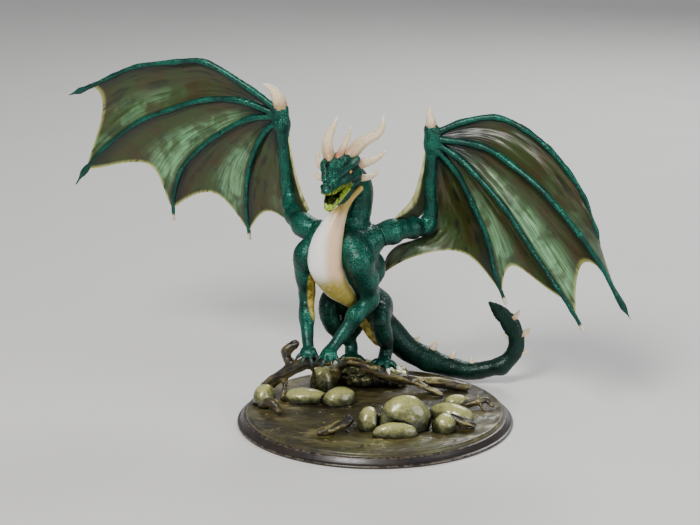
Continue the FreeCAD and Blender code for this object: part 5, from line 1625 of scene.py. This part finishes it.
def make_ground():
    """A muddy disc with a rounded rim, and its flat underside on the plinth."""
    rings = 210
    radius = np.concatenate([np.linspace(0, 1, rings) ** 0.8 * (GROUND_RADIUS - 0.9),
                             GROUND_RADIUS - np.array((0.6, 0.3, 0.1, 0.0, 0.0))])
    lower = np.concatenate([np.zeros(rings), (0.1, 0.3, 0.6, 1.0, 1.5)])
    verts = turned(radius, 0 * radius).astype(np.float32)
    waves, pebbles = ground_height(verts)
    calm = ramp(np.repeat(radius, SECTORS), GROUND_RADIUS, GROUND_RADIUS - 3.0)
    verts[:, 2] = GROUND_TOP - np.repeat(lower, SECTORS) + (waves + pebbles) * calm - 0.1 * calm
    verts[:, 2] = np.maximum(verts[:, 2], PLINTH_HEIGHT)
    here, quads = band_quads(len(radius), SECTORS)
    base = verts[here[-1]].copy()
    base[:, 2] = PLINTH_HEIGHT
    below, inside = len(verts) + np.arange(2 * SECTORS).reshape(2, SECTORS)
    quads = np.vstack([quads[:, (0, 3, 2, 1)],
                       np.stack([here[-1], below, np.roll(below, -1), np.roll(here[-1], -1)], -1),
                       np.stack([below, inside, np.roll(inside, -1), np.roll(below, -1)], -1),
                       ring_cap(inside)[:, ::-1]])
    verts = np.vstack([verts, base, base * (0.5, 0.5, 1)])
    patches = value_noise(verts.astype(np.float32), 9.0, SEED + 25)
    attributes = {
        "relief": np.concatenate([0.5 + 0.8 * waves + pebbles * 0.8, np.full(2 * SECTORS, 0.4)]),
        "moss": ramp(verts[:, 1], -10.0, -40.0) * 0.55 * ramp(patches, -0.3, 0.5),
    }
    build_piece("mud_ground", verts, quads, attributes, GROUND, "figure", ["ground"])


PLINTH_PROFILE = [(0.0, 0.0), (40.0, 0.0), (49.5, 0.0), (49.85, 0.12), (50.0, 0.42), (49.98, 0.8),
                  (49.8, 1.02), (49.5, 1.12), (49.2, 1.25), (48.9, 1.5), (48.4, 2.1), (47.95, 2.75),
                  (47.7, 3.05), (47.4, 3.18), (46.9, 3.2), (40.0, 3.2), (0.0, 3.2)]


def make_plinth():
    """A turned disc with a beaded rim, closed above and below."""
    fine = []
    for (r0, z0), (r1, z1) in zip(PLINTH_PROFILE[:-1], PLINTH_PROFILE[1:]):
        steps = 1 if min(r0, r1) < 41 else 3
        for t in np.arange(steps) / steps:
            fine.append((r0 + (r1 - r0) * t, z0 + (z1 - z0) * t))
    fine = np.array(fine)[1:]
    verts = turned(fine[:, 0], fine[:, 1])
    here, quads = band_quads(len(fine), SECTORS)
    quads = np.vstack([quads, ring_cap(here[0]), ring_cap(here[-1])[:, ::-1]])
    z, r = verts[:, 2], np.hypot(verts[:, 0], verts[:, 1])
    rub = np.maximum(ramp(np.abs(z - 0.85), 0.5, 0.1) * ramp(r, 49.4, 49.8), ramp(np.abs(z - 3.1), 0.3, 0.05))
    build_piece("turned_plinth", verts, quads, {"rub": rub}, PLINTH, "figure", ["plinth"])


# --------------------------------------------------------------------------- put together

for piece_name in SKIN_PIECES:
    make_skin_piece(piece_name)
make_jaw()
make_belly()
for horn_name, horn_list in HORNS.items():
    swollen = [[(x, y, z, r * HORN_SWELL) for x, y, z, r in horn] for horn in horn_list]
    horn_finish = CREST if horn_name == "crest_horn" else HORN
    make_tubes("bone_" + horn_name, swollen, horn_finish, horn_name)
for leg_name, (leg_stations, leg_toes) in LEGS.items():
    nail_paint = DARK_CLAW if leg_name.endswith("foreleg") else CLAW
    make_tubes("nail_" + leg_name, claw_stations(leg_stations, leg_toes), nail_paint,
               leg_name.replace("leg", "claws"), sides=12)
for spine_name, spine_rows in (("dorsal_spines", SPINES), ("tail_spikes", TAIL_SPIKES)):
    make_tubes("bone_" + spine_name, spine_stations(spine_rows), HORN, spine_name, sides=12)
for wing_side, wing_parts in WINGS.items():
    make_wing_bones(wing_side, wing_parts)
    make_membranes(wing_side, wing_parts)
    make_front_web(wing_side, wing_parts)
    make_tubes(wing_side + "_thumb_bone", [wing_parts["thumb"]], HORN, wing_side + "_thumb_claw",
               wing_side + "_wing")
make_boulders()
for root_name in ROOTS:
    make_root(root_name)
make_ledge()
make_ground()
make_plinth()

for node_name, finish in (("eyes", EYE), ("body_dowels", STEEL), ("foot_dowels", STEEL),
                          ("left_wing_peg", STEEL), ("right_wing_peg", STEEL)):
    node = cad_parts[node_name]
    node.data.materials.clear()
    node.data.materials.append(finish)

# ------------------------------------------------------------------------ camera and light

LENS = 98.64
SENSOR = 36.0
CAMERA_PLACE = (-0.0091, -0.6599, 0.2337)
CAMERA_TILT = 75.2

camera_data = bpy.data.cameras.new("camera")
camera_data.lens = LENS
camera_data.sensor_width = SENSOR
camera_data.dof.use_dof = False
camera = bpy.data.objects.new("camera", camera_data)
camera.location = CAMERA_PLACE
camera.rotation_euler = Euler((math.radians(CAMERA_TILT), 0, 0))
bpy.context.scene.collection.objects.link(camera)
bpy.context.scene.camera = camera


def floor_material():
    p = Paint("floor_paint")
    grain = p.noise(60.0, 2.0)
    return p.finish(p.mix(grain, linear(226, 225, 222), linear(232, 231, 229)), 0.7)


FLOOR = 3.0
corners = [(-FLOOR, -FLOOR, 0), (FLOOR, -FLOOR, 0), (FLOOR, FLOOR, 0), (-FLOOR, FLOOR, 0)]
floor_mesh = bpy.data.meshes.new("floor")
floor_mesh.from_pydata(corners, [], [(0, 1, 2, 3)])
floor_mesh.materials.append(floor_material())
floor = bpy.data.objects.new("floor", floor_mesh)
bpy.context.scene.collection.objects.link(floor)


def softbox(name, place, aim, size, power, tint=(1, 1, 1)):
    """A round area light that points at its aim."""
    data = bpy.data.lights.new(name, "AREA")
    data.shape = "DISK"
    data.size = size
    data.energy = power
    data.color = tint
    light = bpy.data.objects.new(name, data)
    light.location = place
    light.rotation_euler = (Vector(aim) - Vector(place)).to_track_quat("-Z", "Y").to_euler()
    bpy.context.scene.collection.objects.link(light)


softbox("key", (-0.32, -0.62, 0.75), (-0.01, 0.0, 0.07), 0.35, 9.0, (1.0, 0.98, 0.95))
softbox("fill", (0.7, -0.45, 0.35), (0.0, 0.0, 0.06), 0.5, 3.0, (0.94, 0.97, 1.0))
softbox("rim", (0.3, 0.75, 0.6), (0.0, 0.0, 0.08), 0.4, 4.0)

world = bpy.data.worlds.new("studio")
world.use_nodes = True
background = world.node_tree.nodes["Background"]
background.inputs["Color"].default_value = (0.86, 0.88, 0.9, 1)
background.inputs["Strength"].default_value = 0.35
bpy.context.scene.world = world
